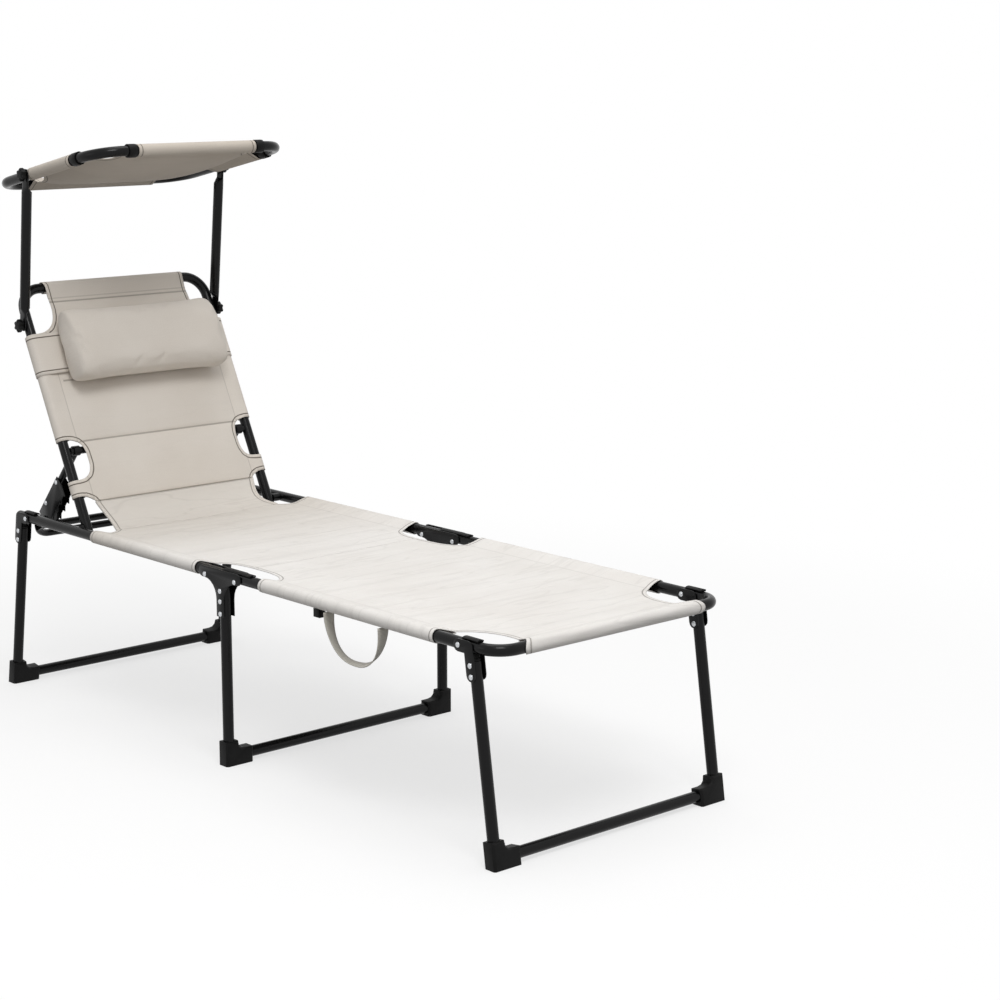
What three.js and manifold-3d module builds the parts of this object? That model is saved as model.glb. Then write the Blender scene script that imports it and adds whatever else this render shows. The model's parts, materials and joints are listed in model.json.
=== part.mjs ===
import * as THREE from 'three'
import { mergeVertices } from 'three/addons/utils/BufferGeometryUtils.js'
import Module from 'manifold-3d'

const wasm = await Module()
wasm.setup()

// Folding sun lounger with a sun canopy, in millimetres
// X runs across, Y from the foot end to the head end, Z up from the floor

const degree = Math.PI / 180
const halfShare = 0.5
const gap = 0.3
const reach = 2000
const weld = 0.0001

// Steel tube of the frame, and the thinner tube of the prop
const tube = { radius: 11, wall: 1.5, sides: 12, boreSides: 6, bendSteps: 4 }
const slimTube = { radius: 8, wall: 1.2, sides: 8, boreSides: 6, bendSteps: 3 }

// Rails of the seat half and the foot half
const rail = { halfSpan: 280, height: 388.8, jointY: 711, jointSlit: 4, headEndY: 1477 }
const footFrame = { barY: -88, bendRadius: 45 }

// Legs, their cross bars and the moulded elbows they stand on
const leg = { barHeight: 17, leanDegrees: 8.57, topBelowRail: 26, endBelowBar: 10.5 }
const legBarY = { foot: -82.3, middle: 710, head: 1523.3 }
const elbow = { halfWidth: 15, socketTop: 33, barLength: 50, depth: 22, bevel: 4, webRadius: 18 }
const plug = { radius: 8.5, skirtRadius: 10.6, skirtHeight: 5 }

// Side plates that join rails and legs, and the rivets through them
const plate = { thickness: 2, halfHeight: 11.6, legLength: 61 }
const endPivot = { offset: 26.8, rivetDrops: [32, 52] }
const tPlate = { halfLength: 70, filletRadius: 38, legHalfWidth: 12, bottomDrop: 84 }
const tPivot = { spacing: 99, drop: 5.8, rivetDrops: [32, 53, 78] }
const rivet = { radius: 3, headRadius: 5, headHeight: 1.8, crownShare: 0.6, sides: 8 }

// Small pads along the tops of the rails, closed rail ends and the clips below the foot rails
const pad = { thickness: 4, halfAngle: 32, steps: 6, length: 41, headStartY: 1412, footStartY: -45 }
const endCap = { length: 5, overlap: 1 }
const clip = { startY: 400, length: 17, halfWidth: 9, height: 18, bevel: 2.5 }

// Frames that nest inside one another across the width
const nesting = { backrest: 39.5, prop: 26 }

// Backrest frame, measured along its own slope from the hinge
const backrest = {
  halfSpan: rail.halfSpan - nesting.backrest, hingeY: 1273.4, slopeDegrees: 63.24,
  top: 549.5, bend: 49.5
}
const backrestEnd = { below: 14, crossAt: 172 }
const hinge = { studRadius: 4, bossRadius: 9, studDepth: 6 }

// Ratchet prop, measured along its own slope from the cross tube of the backrest
const prop = {
  halfSpan: backrest.halfSpan - nesting.prop, slopeDegrees: 48.85, length: 287.4,
  bend: 40, eyeRadius: 11, eyeWidth: 15
}
const saw = { start: 92, end: 212, back: 7, root: 37.5, tip: 45, lean: 3.5, notches: 4, pitch: 26.5 }
const sawSeat = { behindBar: 5.4, floor: 13, rivetsAt: [104, 174], shoulder: 20 }
const catchBar = {
  y: 1440, z: 368.5, linkThickness: 2.4, linkClear: 1.9,
  linkRadius: 10, linkY: 1402, bossRadius: 6
}

// Canopy loop, measured along its own slope from the rear side, and the two arms
const canopy = {
  halfSpan: backrest.halfSpan, depth: 429.2, bend: 67.2,
  tiltDegrees: 11.93, rearY: 1599.8, rearZ: 1101.8
}
const arm = {
  lowerAt: 467.6, upperAt: 153.6, flatThickness: 3.6,
  flatWidth: 25, flatLength: 26, roundFrom: 38
}
const armTube = { outset: 9.5, sides: 12, rimSteps: 2, roundSteps: 2, squareShare: 1.6 }
const collar = { radius: 14.5, length: 20, fromFront: 93.2, fromSide: 88.5 }
const knob = {
  radius: 12.6, lobe: 2.2, lobes: 6, lobeSteps: 4,
  thickness: 13, bevel: 2.5, lift: 1.2, studDepth: 8
}

// Fabric slings, their sleeves round the tubes and the curved cut-outs at the corners
const cloth = {
  thickness: 1.6, flap: 38, shortFlap: 13, across: 8,
  arcStep: 30, sleeveSides: 12, cutSides: 20
}
const seat = { startY: 761.2, endY: 1248, sag: 12, steps: 5 }
const footSling = { endY: 660.5, steps: 6, easeLength: 150 }
const midCut = { y: 696, deep: 88, long: 96 }
const seatRearCut = { y: 1290, deep: 106, long: 95 }
const footCut = { y: -88, deep: 80, long: 158 }
const back = {
  start: -16, steps: 12,
  crown: 5, seamShares: [0.1001, 0.3494, 0.5987, 0.939]
}
const backLowCut = { outset: 9.5, s: -25, deep: 77, long: 90 }
const backMidCut = { outset: 4.5, s: 151, deep: 49, long: 41 }
const backTopCut = { outset: 6.5, belowTop: 42.5, deep: 70, long: 68 }
const canopySleeve = { bareCorner: 91.5, sag: 8, steps: 6 }
const canopyRearCut = { outset: 11.5, s: 8, deep: 102, long: 164 }
const canopyFrontCut = { outset: 13.5, beyond: 10.8, deep: 105, long: 112 }

// Bolster pillow, its band round the backrest, and the carry strap
const pillow = { start: 327, height: 160, inset: 43.5, bulge: 78, lift: 20.2, endRound: 34 }
const pillowMesh = {
  arcSteps: 12, steps: 12, edge: 8, squareShare: 0.72,
  spreadShare: 1.6, dropShare: 0.86, tuckShare: 0.12
}
const band = { start: 331, width: 108, thickness: 1.3, flatInset: 44.5, lift: 18.3, arcSteps: 8 }
const strap = { startY: 221, endY: 380, drop: 84, width: 25, thickness: 1.6, steps: 16, tuck: 13.5 }

// Colours seen on the real thing
const satinBlack = { color: 0x1d1e20, roughness: 0.42, metalness: 0.6 }
const mouldedBlack = { color: 0x151515, roughness: 0.5, metalness: 0 }
const paleFabric = { color: 0xd9d4cb, roughness: 0.85, metalness: 0 }
const backFabric = { color: 0xc9c1b5, roughness: 0.85, metalness: 0 }
const canopyCloth = { color: 0xa59c90, roughness: 0.88, metalness: 0 }
const webbing = { color: 0x9c9a93, roughness: 0.9, metalness: 0 }

const group = new THREE.Group()
group.name = 'sun_lounger_with_canopy'

// Solids and meshes

function toSolid(geometry) {
  const plain = geometry.clone()
  plain.deleteAttribute('normal')
  plain.deleteAttribute('uv')
  const merged = mergeVertices(plain, weld)
  return new wasm.Manifold(new wasm.Mesh({
    numProp: 3,
    vertProperties: new Float32Array(merged.attributes.position.array),
    triVerts: new Uint32Array(merged.index.array)
  }))
}

function toGeometry(solid) {
  const mesh = solid.getMesh()
  const geometry = new THREE.BufferGeometry()
  geometry.setAttribute('position', new THREE.BufferAttribute(new Float32Array(mesh.vertProperties), 3))
  geometry.setIndex(new THREE.BufferAttribute(new Uint32Array(mesh.triVerts), 1))
  geometry.computeVertexNormals()
  return geometry
}

function addPiece(name, solid, look) {
  const mesh = new THREE.Mesh(toGeometry(solid), new THREE.MeshStandardMaterial(look))
  mesh.name = name
  group.add(mesh)
}

function joined(solids) {
  return solids.reduce((whole, next) => whole.add(next))
}

function mirrored(solid) {
  return solid.mirror([1, 0, 0])
}

function bothSides(solid) {
  return solid.add(mirrored(solid))
}

function addPair(name, solid, look) {
  addPiece(`${name}_left`, solid, look)
  addPiece(`${name}_right`, mirrored(solid), look)
}

// Basic shapes

function rodX(radius, fromX, toX, y, z, sides = tube.sides) {
  const geometry = new THREE.CylinderGeometry(radius, radius, Math.abs(toX - fromX), sides)
  geometry.rotateZ(-90 * degree)
  geometry.translate((fromX + toX) * halfShare, y, z)
  return toSolid(geometry)
}

function rodY(radius, fromY, toY, x, z, sides = tube.sides) {
  const geometry = new THREE.CylinderGeometry(radius, radius, toY - fromY, sides)
  geometry.translate(x, (fromY + toY) * halfShare, z)
  return toSolid(geometry)
}

function rodZ(radius, fromZ, toZ, x, y, sides = tube.sides) {
  return rodY(radius, fromZ, toZ, x, -y, sides).rotate([90, 0, 0])
}

function around(radius, sides) {
  return radius / Math.cos(Math.PI / sides)
}

function pipe(make, size, ...place) {
  const bore = make(size.radius - size.wall, ...place, size.boreSides)
  return make(size.radius, ...place, size.sides).subtract(bore)
}

function plateX(shape, fromX, toX) {
  const depth = toX - fromX
  const geometry = new THREE.ExtrudeGeometry(shape, { depth, bevelEnabled: false, curveSegments: 3 })
  const turn = new THREE.Matrix4().makeBasis(
    new THREE.Vector3(0, 1, 0), new THREE.Vector3(0, 0, 1), new THREE.Vector3(1, 0, 0))
  geometry.applyMatrix4(turn)
  geometry.translate(fromX, 0, 0)
  return toSolid(geometry)
}

function capsuleShape(from, to, radius) {
  const angle = Math.atan2(to[1] - from[1], to[0] - from[0])
  const shape = new THREE.Shape()
  shape.absarc(from[0], from[1], radius, angle + 90 * degree, angle + 270 * degree, false)
  shape.absarc(to[0], to[1], radius, angle - 90 * degree, angle + 90 * degree, false)
  shape.closePath()
  return shape
}

// Bent tubes: a path of straight runs and round corners, with sections only where it turns

class BentPath extends THREE.Curve {
  constructor(spots) {
    super()
    this.spots = spots
  }

  spotAt(share) {
    return this.spots[Math.round(share * (this.spots.length - 1))]
  }

  getPointAt(share, target = new THREE.Vector3()) {
    return target.copy(this.spotAt(share).point)
  }

  getTangentAt(share, target = new THREE.Vector3()) {
    return target.copy(this.spotAt(share).tangent)
  }
}

function cornerSpots(before, corner, after, bend, steps) {
  const inward = corner.clone().sub(before).normalize()
  const outward = after.clone().sub(corner).normalize()
  const centre = corner.clone().addScaledVector(inward, -bend).addScaledVector(outward, bend)
  const spots = []
  for (let step = 0; step <= steps; step += 1) {
    const angle = 90 * degree * step / steps
    const point = centre.clone()
    point.addScaledVector(outward, -bend * Math.cos(angle)).addScaledVector(inward, bend * Math.sin(angle))
    const tangent = inward.clone().multiplyScalar(Math.cos(angle)).addScaledVector(outward, Math.sin(angle))
    spots.push({ point, tangent })
  }
  return spots
}

function bentPipe(corners, bend, size) {
  const points = corners.map(([x, y]) => new THREE.Vector3(x, y, 0))
  const last = points.length - 1
  const spots = [{ point: points[0], tangent: points[1].clone().sub(points[0]).normalize() }]
  for (let index = 1; index < last; index += 1) {
    spots.push(...cornerSpots(points[index - 1], points[index], points[index + 1], bend, size.bendSteps))
  }
  spots.push({ point: points[last], tangent: points[last].clone().sub(points[last - 1]).normalize() })
  const options = { steps: spots.length - 1, extrudePath: new BentPath(spots) }
  return toSolid(new THREE.ExtrudeGeometry(ringShape(size), options))
}

function circlePoints(radius, sides, fromDegrees = 0) {
  const points = []
  for (let step = 0; step < sides; step += 1) {
    const angle = (fromDegrees + 360 * step / sides) * degree
    points.push(new THREE.Vector2(radius * Math.cos(angle), radius * Math.sin(angle)))
  }
  return points
}

function ringShape(size) {
  const shape = new THREE.Shape(circlePoints(size.radius, size.sides))
  shape.holes.push(new THREE.Path(circlePoints(size.radius - size.wall, size.boreSides).reverse()))
  return shape
}

// Rivets: two flat heads and a shank, and the holes they pass through

function rivetX(fromX, toX, y, z) {
  const half = (toX - fromX) * halfShare
  const crown = rivet.headRadius * rivet.crownShare
  const end = half + rivet.headHeight
  const profile = [
    [0, -end], [crown, -end], [rivet.headRadius, -half], [rivet.radius, -half],
    [rivet.radius, half], [rivet.headRadius, half], [crown, end], [0, end]
  ].map(([radius, along]) => new THREE.Vector2(radius, along))
  const geometry = new THREE.LatheGeometry(profile, rivet.sides)
  geometry.rotateZ(-90 * degree)
  geometry.translate((fromX + toX) * halfShare, y, z)
  return toSolid(geometry)
}

function drilledX(solid, spots, radius, fromX, toX) {
  const drills = spots.map(([y, z]) => rodX(around(radius + gap, rivet.sides), fromX, toX, y, z, rivet.sides))
  return solid.subtract(joined(drills))
}

// Where the left rail's plates stand
const outerFace = -(rail.halfSpan + tube.radius + gap)
const innerFace = -(rail.halfSpan - tube.radius - gap)

function rivetedPlates(outlines, spots) {
  const plates = outlines.flatMap((outline) => [
    plateX(outline, outerFace - plate.thickness, outerFace),
    plateX(outline, innerFace, innerFace + plate.thickness)
  ])
  const rivets = spots.map(([y, z]) => rivetX(outerFace - plate.thickness, innerFace + plate.thickness, y, z))
  return joined([...plates, ...rivets])
}

// Legs: tubes, cross bar, moulded elbows and the plugs that bear on the rails

function legFrame(barY, lean) {
  const up = [-Math.sin(lean * degree), Math.cos(lean * degree)]
  const railShare = (rail.height - leg.barHeight) / up[1]
  const along = (distance) => [barY + up[0] * distance, leg.barHeight + up[1] * distance]
  const place = (solid) => solid.rotate([lean, 0, 0]).translate([0, barY, leg.barHeight])
  return { along, place, railAt: railShare }
}

function elbowShape() {
  const shape = new THREE.Shape()
  shape.moveTo(-elbow.halfWidth, -elbow.depth)
  shape.lineTo(elbow.barLength, -elbow.depth)
  shape.lineTo(elbow.barLength, elbow.halfWidth)
  shape.lineTo(elbow.halfWidth + elbow.webRadius, elbow.halfWidth)
  shape.quadraticCurveTo(elbow.halfWidth, elbow.halfWidth, elbow.halfWidth, elbow.socketTop)
  shape.lineTo(-elbow.halfWidth, elbow.socketTop)
  shape.closePath()
  return shape
}

function elbowSolid() {
  const geometry = new THREE.ExtrudeGeometry(elbowShape(), {
    depth: (elbow.halfWidth - elbow.bevel) * 2,
    bevelThickness: elbow.bevel,
    bevelSize: elbow.bevel,
    bevelOffset: -elbow.bevel,
    bevelSegments: 1,
    curveSegments: 3
  })
  geometry.translate(0, 0, -(elbow.halfWidth - elbow.bevel))
  geometry.rotateX(90 * degree)
  geometry.translate(-rail.halfSpan, 0, 0)
  const boreRadius = around(tube.radius + gap, tube.sides)
  const legBore = rodZ(boreRadius, -leg.endBelowBar - gap, reach, -rail.halfSpan, 0)
  const barBore = rodX(boreRadius, -rail.halfSpan, 0, 0, 0)
  return toSolid(geometry).subtract(legBore).subtract(barBore)
}

function plugSolid(top, seat) {
  const foot = top - leg.topBelowRail + seat
  const skirt = rodZ(plug.skirtRadius, foot, foot + plug.skirtHeight, -rail.halfSpan, 0)
  return skirt.add(rodZ(plug.radius, foot, top, -rail.halfSpan, 0))
}

function addLegSet(name, barY, lean, rivetSpots, plugIsLoose) {
  const frame = legFrame(barY, lean)
  const top = frame.railAt - leg.topBelowRail
  const tubeSolid = frame.place(pipe(rodZ, tube, -leg.endBelowBar, top, -rail.halfSpan, 0))
  const elbowPlaced = frame.place(elbowSolid()).trimByPlane([0, 0, 1], 0)
  const railBore = rodY(around(tube.radius + gap, tube.sides), -reach, reach, -rail.halfSpan, rail.height)
  const seat = plugIsLoose ? gap : -tube.wall
  const plugPlaced = frame.place(plugSolid(frame.railAt, seat)).subtract(railBore)
  const legSolid = plugIsLoose ? tubeSolid : tubeSolid.add(plugPlaced)
  const barHalf = rail.halfSpan - tube.radius - gap * 2
  addPair(`${name}_leg`, drilledX(legSolid, rivetSpots, rivet.radius, -reach, 0), satinBlack)
  addPair(`${name}_elbow`, elbowPlaced, mouldedBlack)
  addPiece(`${name}_cross_bar`, frame.place(pipe(rodX, tube, -barHalf, barHalf, 0, 0)), satinBlack)
  if (plugIsLoose) addPair(`${name}_leg_plug`, plugPlaced, mouldedBlack)
}

// Head and foot legs swing on one rivet through each rail and two through each leg

function addEndLegs(name, barY, lean) {
  const frame = legFrame(barY, lean)
  const knee = frame.along(frame.railAt)
  const pivot = [knee[0] - Math.sign(lean) * endPivot.offset, rail.height]
  const fixed = endPivot.rivetDrops.map((drop) => frame.along(frame.railAt - drop))
  const upper = capsuleShape(pivot, knee, plate.halfHeight)
  const tip = frame.along(frame.railAt - plate.legLength + plate.halfHeight)
  const lower = capsuleShape(knee, tip, plate.halfHeight)
  addLegSet(name, barY, lean, fixed, true)
  addPair(`${name}_bracket`, rivetedPlates([upper, lower], [pivot, ...fixed]), satinBlack)
  return pivot
}

// Middle legs carry the plates both halves are hinged to

function tShape() {
  const y = legBarY.middle
  const { halfLength, filletRadius, legHalfWidth, bottomDrop } = tPlate
  const under = rail.height - plate.halfHeight
  const bottom = rail.height - bottomDrop
  const corner = plate.halfHeight
  const shape = new THREE.Shape()
  shape.moveTo(y - legHalfWidth, bottom)
  shape.lineTo(y + legHalfWidth, bottom)
  shape.lineTo(y + legHalfWidth, under - filletRadius)
  const filletY = legHalfWidth + filletRadius
  shape.absarc(y + filletY, under - filletRadius, filletRadius, Math.PI, 90 * degree, true)
  shape.absarc(y + halfLength - corner, rail.height, corner, -90 * degree, 90 * degree, false)
  shape.absarc(y - halfLength + corner, rail.height, corner, 90 * degree, 270 * degree, false)
  shape.absarc(y - filletY, under - filletRadius, filletRadius, 90 * degree, 0, true)
  shape.closePath()
  return shape
}

function addMiddleLegs() {
  const y = legBarY.middle
  const headPivot = [rail.jointY + tPivot.spacing * halfShare, rail.height - tPivot.drop]
  const footPivot = [rail.jointY - tPivot.spacing * halfShare, rail.height - tPivot.drop]
  const fixed = tPivot.rivetDrops.map((drop) => [y, rail.height - drop])
  const spots = [headPivot, footPivot, ...fixed]
  addLegSet('middle', y, 0, fixed, false)
  addPair('t_bracket', rivetedPlates([tShape()], spots), satinBlack)
  return { headPivot, footPivot }
}

// Rails of the seat half with the catch bar, hinge studs, pads and plugs

function topPad(startY, length, thickness) {
  const shape = new THREE.Shape()
  const inner = around(tube.radius + gap, tube.sides)
  const outer = inner + thickness
  const arcs = [[outer, 1], [inner, -1]]
  const points = []
  for (const [radius, way] of arcs) {
    for (let step = 0; step <= pad.steps; step += 1) {
      const angle = (90 - way * pad.halfAngle + way * 2 * pad.halfAngle * step / pad.steps) * degree
      points.push(new THREE.Vector2(radius * Math.cos(angle), radius * Math.sin(angle)))
    }
  }
  shape.setFromPoints(points)
  const geometry = new THREE.ExtrudeGeometry(shape, { depth: length, bevelEnabled: false })
  geometry.rotateX(90 * degree)
  geometry.translate(-rail.halfSpan, startY + length, rail.height)
  return toSolid(geometry)
}

function addSeatHalf(headPivot, legPivot) {
  const startY = rail.jointY + rail.jointSlit * halfShare
  const bare = pipe(rodY, tube, startY, rail.headEndY, -rail.halfSpan, rail.height)
  const closed = bare.add(railCap()).add(hingeStud())
  addPair('seat_rail', drilledX(closed, [headPivot, legPivot], rivet.radius, -reach, 0), satinBlack)
  addPair('head_rail_pad', topPad(pad.headStartY, pad.length, pad.thickness), mouldedBlack)
  addCatchBar()
}

function railCap() {
  const { headEndY } = rail
  return rodY(tube.radius, headEndY - endCap.overlap, headEndY + endCap.length, -rail.halfSpan, rail.height)
}

function hingeStud() {
  const tubeFace = backrest.halfSpan + tube.radius
  const spot = [backrest.hingeY, rail.height]
  const boss = rodX(hinge.bossRadius, innerFace - tube.wall, -tubeFace - gap, ...spot)
  const shank = rodX(hinge.studRadius, innerFace, -tubeFace + hinge.studDepth, ...spot, rivet.sides)
  return boss.add(shank)
}

function addCatchBar() {
  const outer = innerFace + plate.thickness + catchBar.linkClear
  const inner = outer + catchBar.linkThickness
  const from = [catchBar.y, catchBar.z]
  const to = [catchBar.linkY, rail.height]
  const link = plateX(capsuleShape(to, from, catchBar.linkRadius), outer, inner)
  const boss = rodX(catchBar.bossRadius, innerFace, inner, ...to, rivet.sides)
  const bar = rodX(slimTube.radius, outer, -outer, ...from)
  const bore = rodX(slimTube.radius - slimTube.wall, -reach, reach, ...from)
  addPiece('catch_bar', joined([bar, bothSides(link.add(boss))]).subtract(bore), satinBlack)
}

// Foot half: a bent tube with pads and clips

function addFootHalf(footPivot, legPivot) {
  const endY = rail.jointY - rail.jointSlit * halfShare
  const side = rail.halfSpan
  const corners = [[-side, endY], [-side, footFrame.barY], [side, footFrame.barY], [side, endY]]
  const frame = bentPipe(corners, footFrame.bendRadius, tube).translate([0, 0, rail.height])
  const spots = [footPivot, legPivot]
  addPiece('foot_frame', drilledX(frame, spots, rivet.radius, -reach, reach), satinBlack)
  addPair('foot_rail_pad', topPad(pad.footStartY, pad.length, pad.thickness), mouldedBlack)
  addPair('leg_clip', clipSolid(), mouldedBlack)
}

function clipSolid() {
  const shape = new THREE.Shape()
  const half = clip.length * halfShare
  shape.moveTo(-half, -clip.height)
  shape.lineTo(half, -clip.height)
  shape.lineTo(half, 0)
  shape.lineTo(-half, 0)
  shape.closePath()
  const geometry = new THREE.ExtrudeGeometry(shape, {
    depth: (clip.halfWidth - clip.bevel) * 2,
    bevelThickness: clip.bevel,
    bevelSize: clip.bevel,
    bevelOffset: -clip.bevel,
    bevelSegments: 2
  })
  geometry.translate(0, 0, -(clip.halfWidth - clip.bevel))
  const turn = new THREE.Matrix4().makeBasis(
    new THREE.Vector3(0, 1, 0), new THREE.Vector3(0, 0, 1), new THREE.Vector3(1, 0, 0))
  geometry.applyMatrix4(turn)
  geometry.translate(-rail.halfSpan, clip.startY + half, rail.height - tube.radius)
  const sleeveRadius = outerSleeve() + gap
  const bore = rodY(around(sleeveRadius, tube.sides), -reach, reach, -rail.halfSpan, rail.height)
  return toSolid(geometry).subtract(bore)
}

// Backrest frame, built flat and then tipped up on its hinge

function onBackrest(solid) {
  return solid.rotate([backrest.slopeDegrees, 0, 0]).translate([0, backrest.hingeY, rail.height])
}

function addBackrestFrame() {
  const { halfSpan, top, bend } = backrest
  const { below, crossAt } = backrestEnd
  const corners = [[-halfSpan, -below], [-halfSpan, top], [halfSpan, top], [halfSpan, -below]]
  const frame = bentPipe(corners, bend, tube)
  const hinged = drillBoth(frame, [[0, 0]], hinge.studRadius, halfSpan)
  const drilled = drillBoth(hinged, [[arm.lowerAt, 0]], hinge.studRadius, halfSpan)
  const crossHalf = halfSpan - tube.radius - gap
  addPiece('backrest_frame', onBackrest(drilled), satinBlack)
  const crossTube = pipe(rodX, slimTube, -crossHalf, crossHalf, crossAt, 0)
  addPiece('backrest_cross_tube', onBackrest(crossTube), satinBlack)
}

function drillBoth(solid, spots, radius, halfSpan) {
  return drilledX(drilledX(solid, spots, radius, -reach, -halfSpan), spots, radius, halfSpan, reach)
}

// Ratchet prop: a bent tube hung from the cross tube, with toothed plates on both legs

function onProp(solid) {
  const slope = backrest.slopeDegrees * degree
  const y = backrest.hingeY + backrestEnd.crossAt * Math.cos(slope)
  const z = rail.height + backrestEnd.crossAt * Math.sin(slope)
  return solid.rotate([-prop.slopeDegrees, 0, 0]).translate([0, y, z])
}

function barOnProp() {
  const slope = backrest.slopeDegrees * degree
  const lean = prop.slopeDegrees * degree
  const y = catchBar.y - backrest.hingeY - backrestEnd.crossAt * Math.cos(slope)
  const z = catchBar.z - rail.height - backrestEnd.crossAt * Math.sin(slope)
  return y * Math.cos(lean) - z * Math.sin(lean)
}

function sawShape() {
  const shape = new THREE.Shape()
  const lastFlank = barOnProp() - sawSeat.behindBar
  shape.moveTo(saw.start, saw.back)
  shape.lineTo(saw.start, -sawSeat.shoulder)
  for (let notch = saw.notches - 1; notch >= 0; notch -= 1) {
    const flank = lastFlank - notch * saw.pitch
    shape.lineTo(flank - saw.lean, -saw.tip)
    shape.lineTo(flank, -saw.root)
    shape.lineTo(flank + sawSeat.floor, -saw.root)
  }
  shape.lineTo(lastFlank + saw.pitch - saw.lean, -saw.tip)
  shape.lineTo(saw.end, -sawSeat.shoulder)
  shape.lineTo(saw.end, saw.back)
  shape.closePath()
  return shape
}

function addProp() {
  const { halfSpan, length, bend, eyeRadius, eyeWidth } = prop
  const start = eyeRadius - slimTube.wall
  const corners = [[-halfSpan, start], [-halfSpan, length], [halfSpan, length], [halfSpan, start]]
  const frame = bentPipe(corners, bend, slimTube)
  const outer = -halfSpan - slimTube.radius - gap
  const inner = -halfSpan + slimTube.radius + gap
  const outerPlate = plateX(sawShape(), outer - plate.thickness, outer)
  const innerPlate = plateX(sawShape(), inner, inner + plate.thickness)
  const spots = sawSeat.rivetsAt.map((along) => [along, 0])
  const pins = spots.map(([y, z]) => rivetX(outer - plate.thickness, inner + plate.thickness, y, z))
  const eyeBore = around(slimTube.radius + gap, tube.sides)
  const eyeSpan = [-halfSpan - eyeWidth * halfShare, -halfSpan + eyeWidth * halfShare]
  const eye = rodX(eyeRadius, ...eyeSpan, 0, 0).subtract(rodX(eyeBore, -reach, 0, 0, 0))
  const drilled = drilledX(frame, spots, rivet.radius, -reach, reach)
  addPiece('prop_frame', onProp(drilled.add(bothSides(eye))), satinBlack)
  addPair('saw_plates', onProp(joined([outerPlate, innerPlate, ...pins])), satinBlack)
}

// Canopy loop, built flat from its rear side and then tipped

function onCanopy(solid) {
  const turned = solid.rotate([0, 0, 180]).rotate([-canopy.tiltDegrees, 0, 0])
  return turned.translate([0, canopy.rearY, canopy.rearZ])
}

function addCanopyFrame() {
  const { halfSpan, depth, bend } = canopy
  const corners = [[-gap, 0], [-halfSpan, 0], [-halfSpan, depth], [halfSpan, depth], [halfSpan, 0], [gap, 0]]
  const frame = bentPipe(corners, bend, tube)
  const drilled = drillBoth(frame, [[arm.upperAt, 0]], hinge.studRadius, halfSpan)
  addPiece('canopy_frame', onCanopy(drilled), satinBlack)
  addCollars()
}

function addCollars() {
  const bore = around(tube.radius + gap, tube.sides)
  const { fromFront, fromSide, length, radius } = collar
  const sideStart = canopy.depth - fromFront
  const frontStart = canopy.halfSpan - fromSide
  const sideX = -canopy.halfSpan
  const sideRing = rodY(radius, sideStart, sideStart + length, sideX, 0)
  const side = sideRing.subtract(rodY(bore, -reach, reach, sideX, 0))
  const frontRing = rodX(radius, -frontStart - length, -frontStart, canopy.depth, 0)
  const front = frontRing.subtract(rodX(bore, -reach, 0, canopy.depth, 0))
  addPair('side_collar', onCanopy(mirrored(side)), mouldedBlack)
  addPair('front_collar', onCanopy(mirrored(front)), mouldedBlack)
}

// Arms: round tube with flattened, rounded ends

function armEnds() {
  const slope = backrest.slopeDegrees * degree
  const tilt = canopy.tiltDegrees * degree
  const lower = [backrest.hingeY + arm.lowerAt * Math.cos(slope), rail.height + arm.lowerAt * Math.sin(slope)]
  const upper = [canopy.rearY - arm.upperAt * Math.cos(tilt), canopy.rearZ + arm.upperAt * Math.sin(tilt)]
  return { lower, upper }
}

function armSections(length) {
  const rim = arm.flatWidth * halfShare
  const { flatLength, roundFrom } = arm
  const ends = []
  for (let step = 0; step < armTube.rimSteps; step += 1) {
    const angle = 90 * degree * (step + halfShare) / armTube.rimSteps
    ends.push([rim * (1 - Math.cos(angle)) - rim, Math.sin(angle), 0])
  }
  ends.push([0, 1, 0], [flatLength, 1, 0])
  for (let step = 1; step <= armTube.roundSteps; step += 1) {
    const share = step / armTube.roundSteps
    ends.push([flatLength + (roundFrom - flatLength) * share, 1, share])
  }
  const far = ends.map(([along, width, round]) => [length - along, width, round]).reverse()
  return [...ends, ...far]
}

function armSolid(length) {
  const sections = armSections(length)
  const flatX = backrest.halfSpan + tube.radius + gap + arm.flatThickness * halfShare
  const sides = armTube.sides
  const geometry = new THREE.CylinderGeometry(1, 1, 1, sides, sections.length - 1)
  const spots = geometry.attributes.position
  for (let index = 0; index < spots.count; index += 1) {
    const row = Math.round((spots.getY(index) + halfShare) * (sections.length - 1))
    const [along, width, round] = sections[row]
    const halfX = THREE.MathUtils.lerp(arm.flatThickness * halfShare, tube.radius, round)
    const halfY = THREE.MathUtils.lerp(arm.flatWidth * halfShare * width, tube.radius, round)
    const centre = THREE.MathUtils.lerp(flatX, backrest.halfSpan + armTube.outset, round)
    const squared = THREE.MathUtils.lerp(squareCorner(spots.getX(index)), spots.getX(index), round)
    spots.setXYZ(index, -centre + halfX * squared, spots.getZ(index) * halfY, along)
  }
  return toSolid(flipped(geometry))
}

function squareCorner(value) {
  return Math.sign(value) * Math.min(1, Math.abs(value) * armTube.squareShare)
}

function flipped(geometry) {
  const index = geometry.index.array
  for (let corner = 0; corner < index.length; corner += 3) {
    const swap = index[corner]
    index[corner] = index[corner + 1]
    index[corner + 1] = swap
  }
  return geometry
}

function addArms() {
  const { lower, upper } = armEnds()
  const length = Math.hypot(upper[0] - lower[0], upper[1] - lower[1])
  const lean = Math.atan2(lower[0] - upper[0], upper[1] - lower[1]) / degree
  const bare = armSolid(length).rotate([lean, 0, 0]).translate([0, ...lower])
  addPair('canopy_arm', drilledX(bare, [lower, upper], hinge.studRadius, -reach, 0), satinBlack)
  addKnobs('lower', lower)
  addKnobs('upper', upper)
}

// Star knobs with a stud through the arm into the tube

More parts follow.
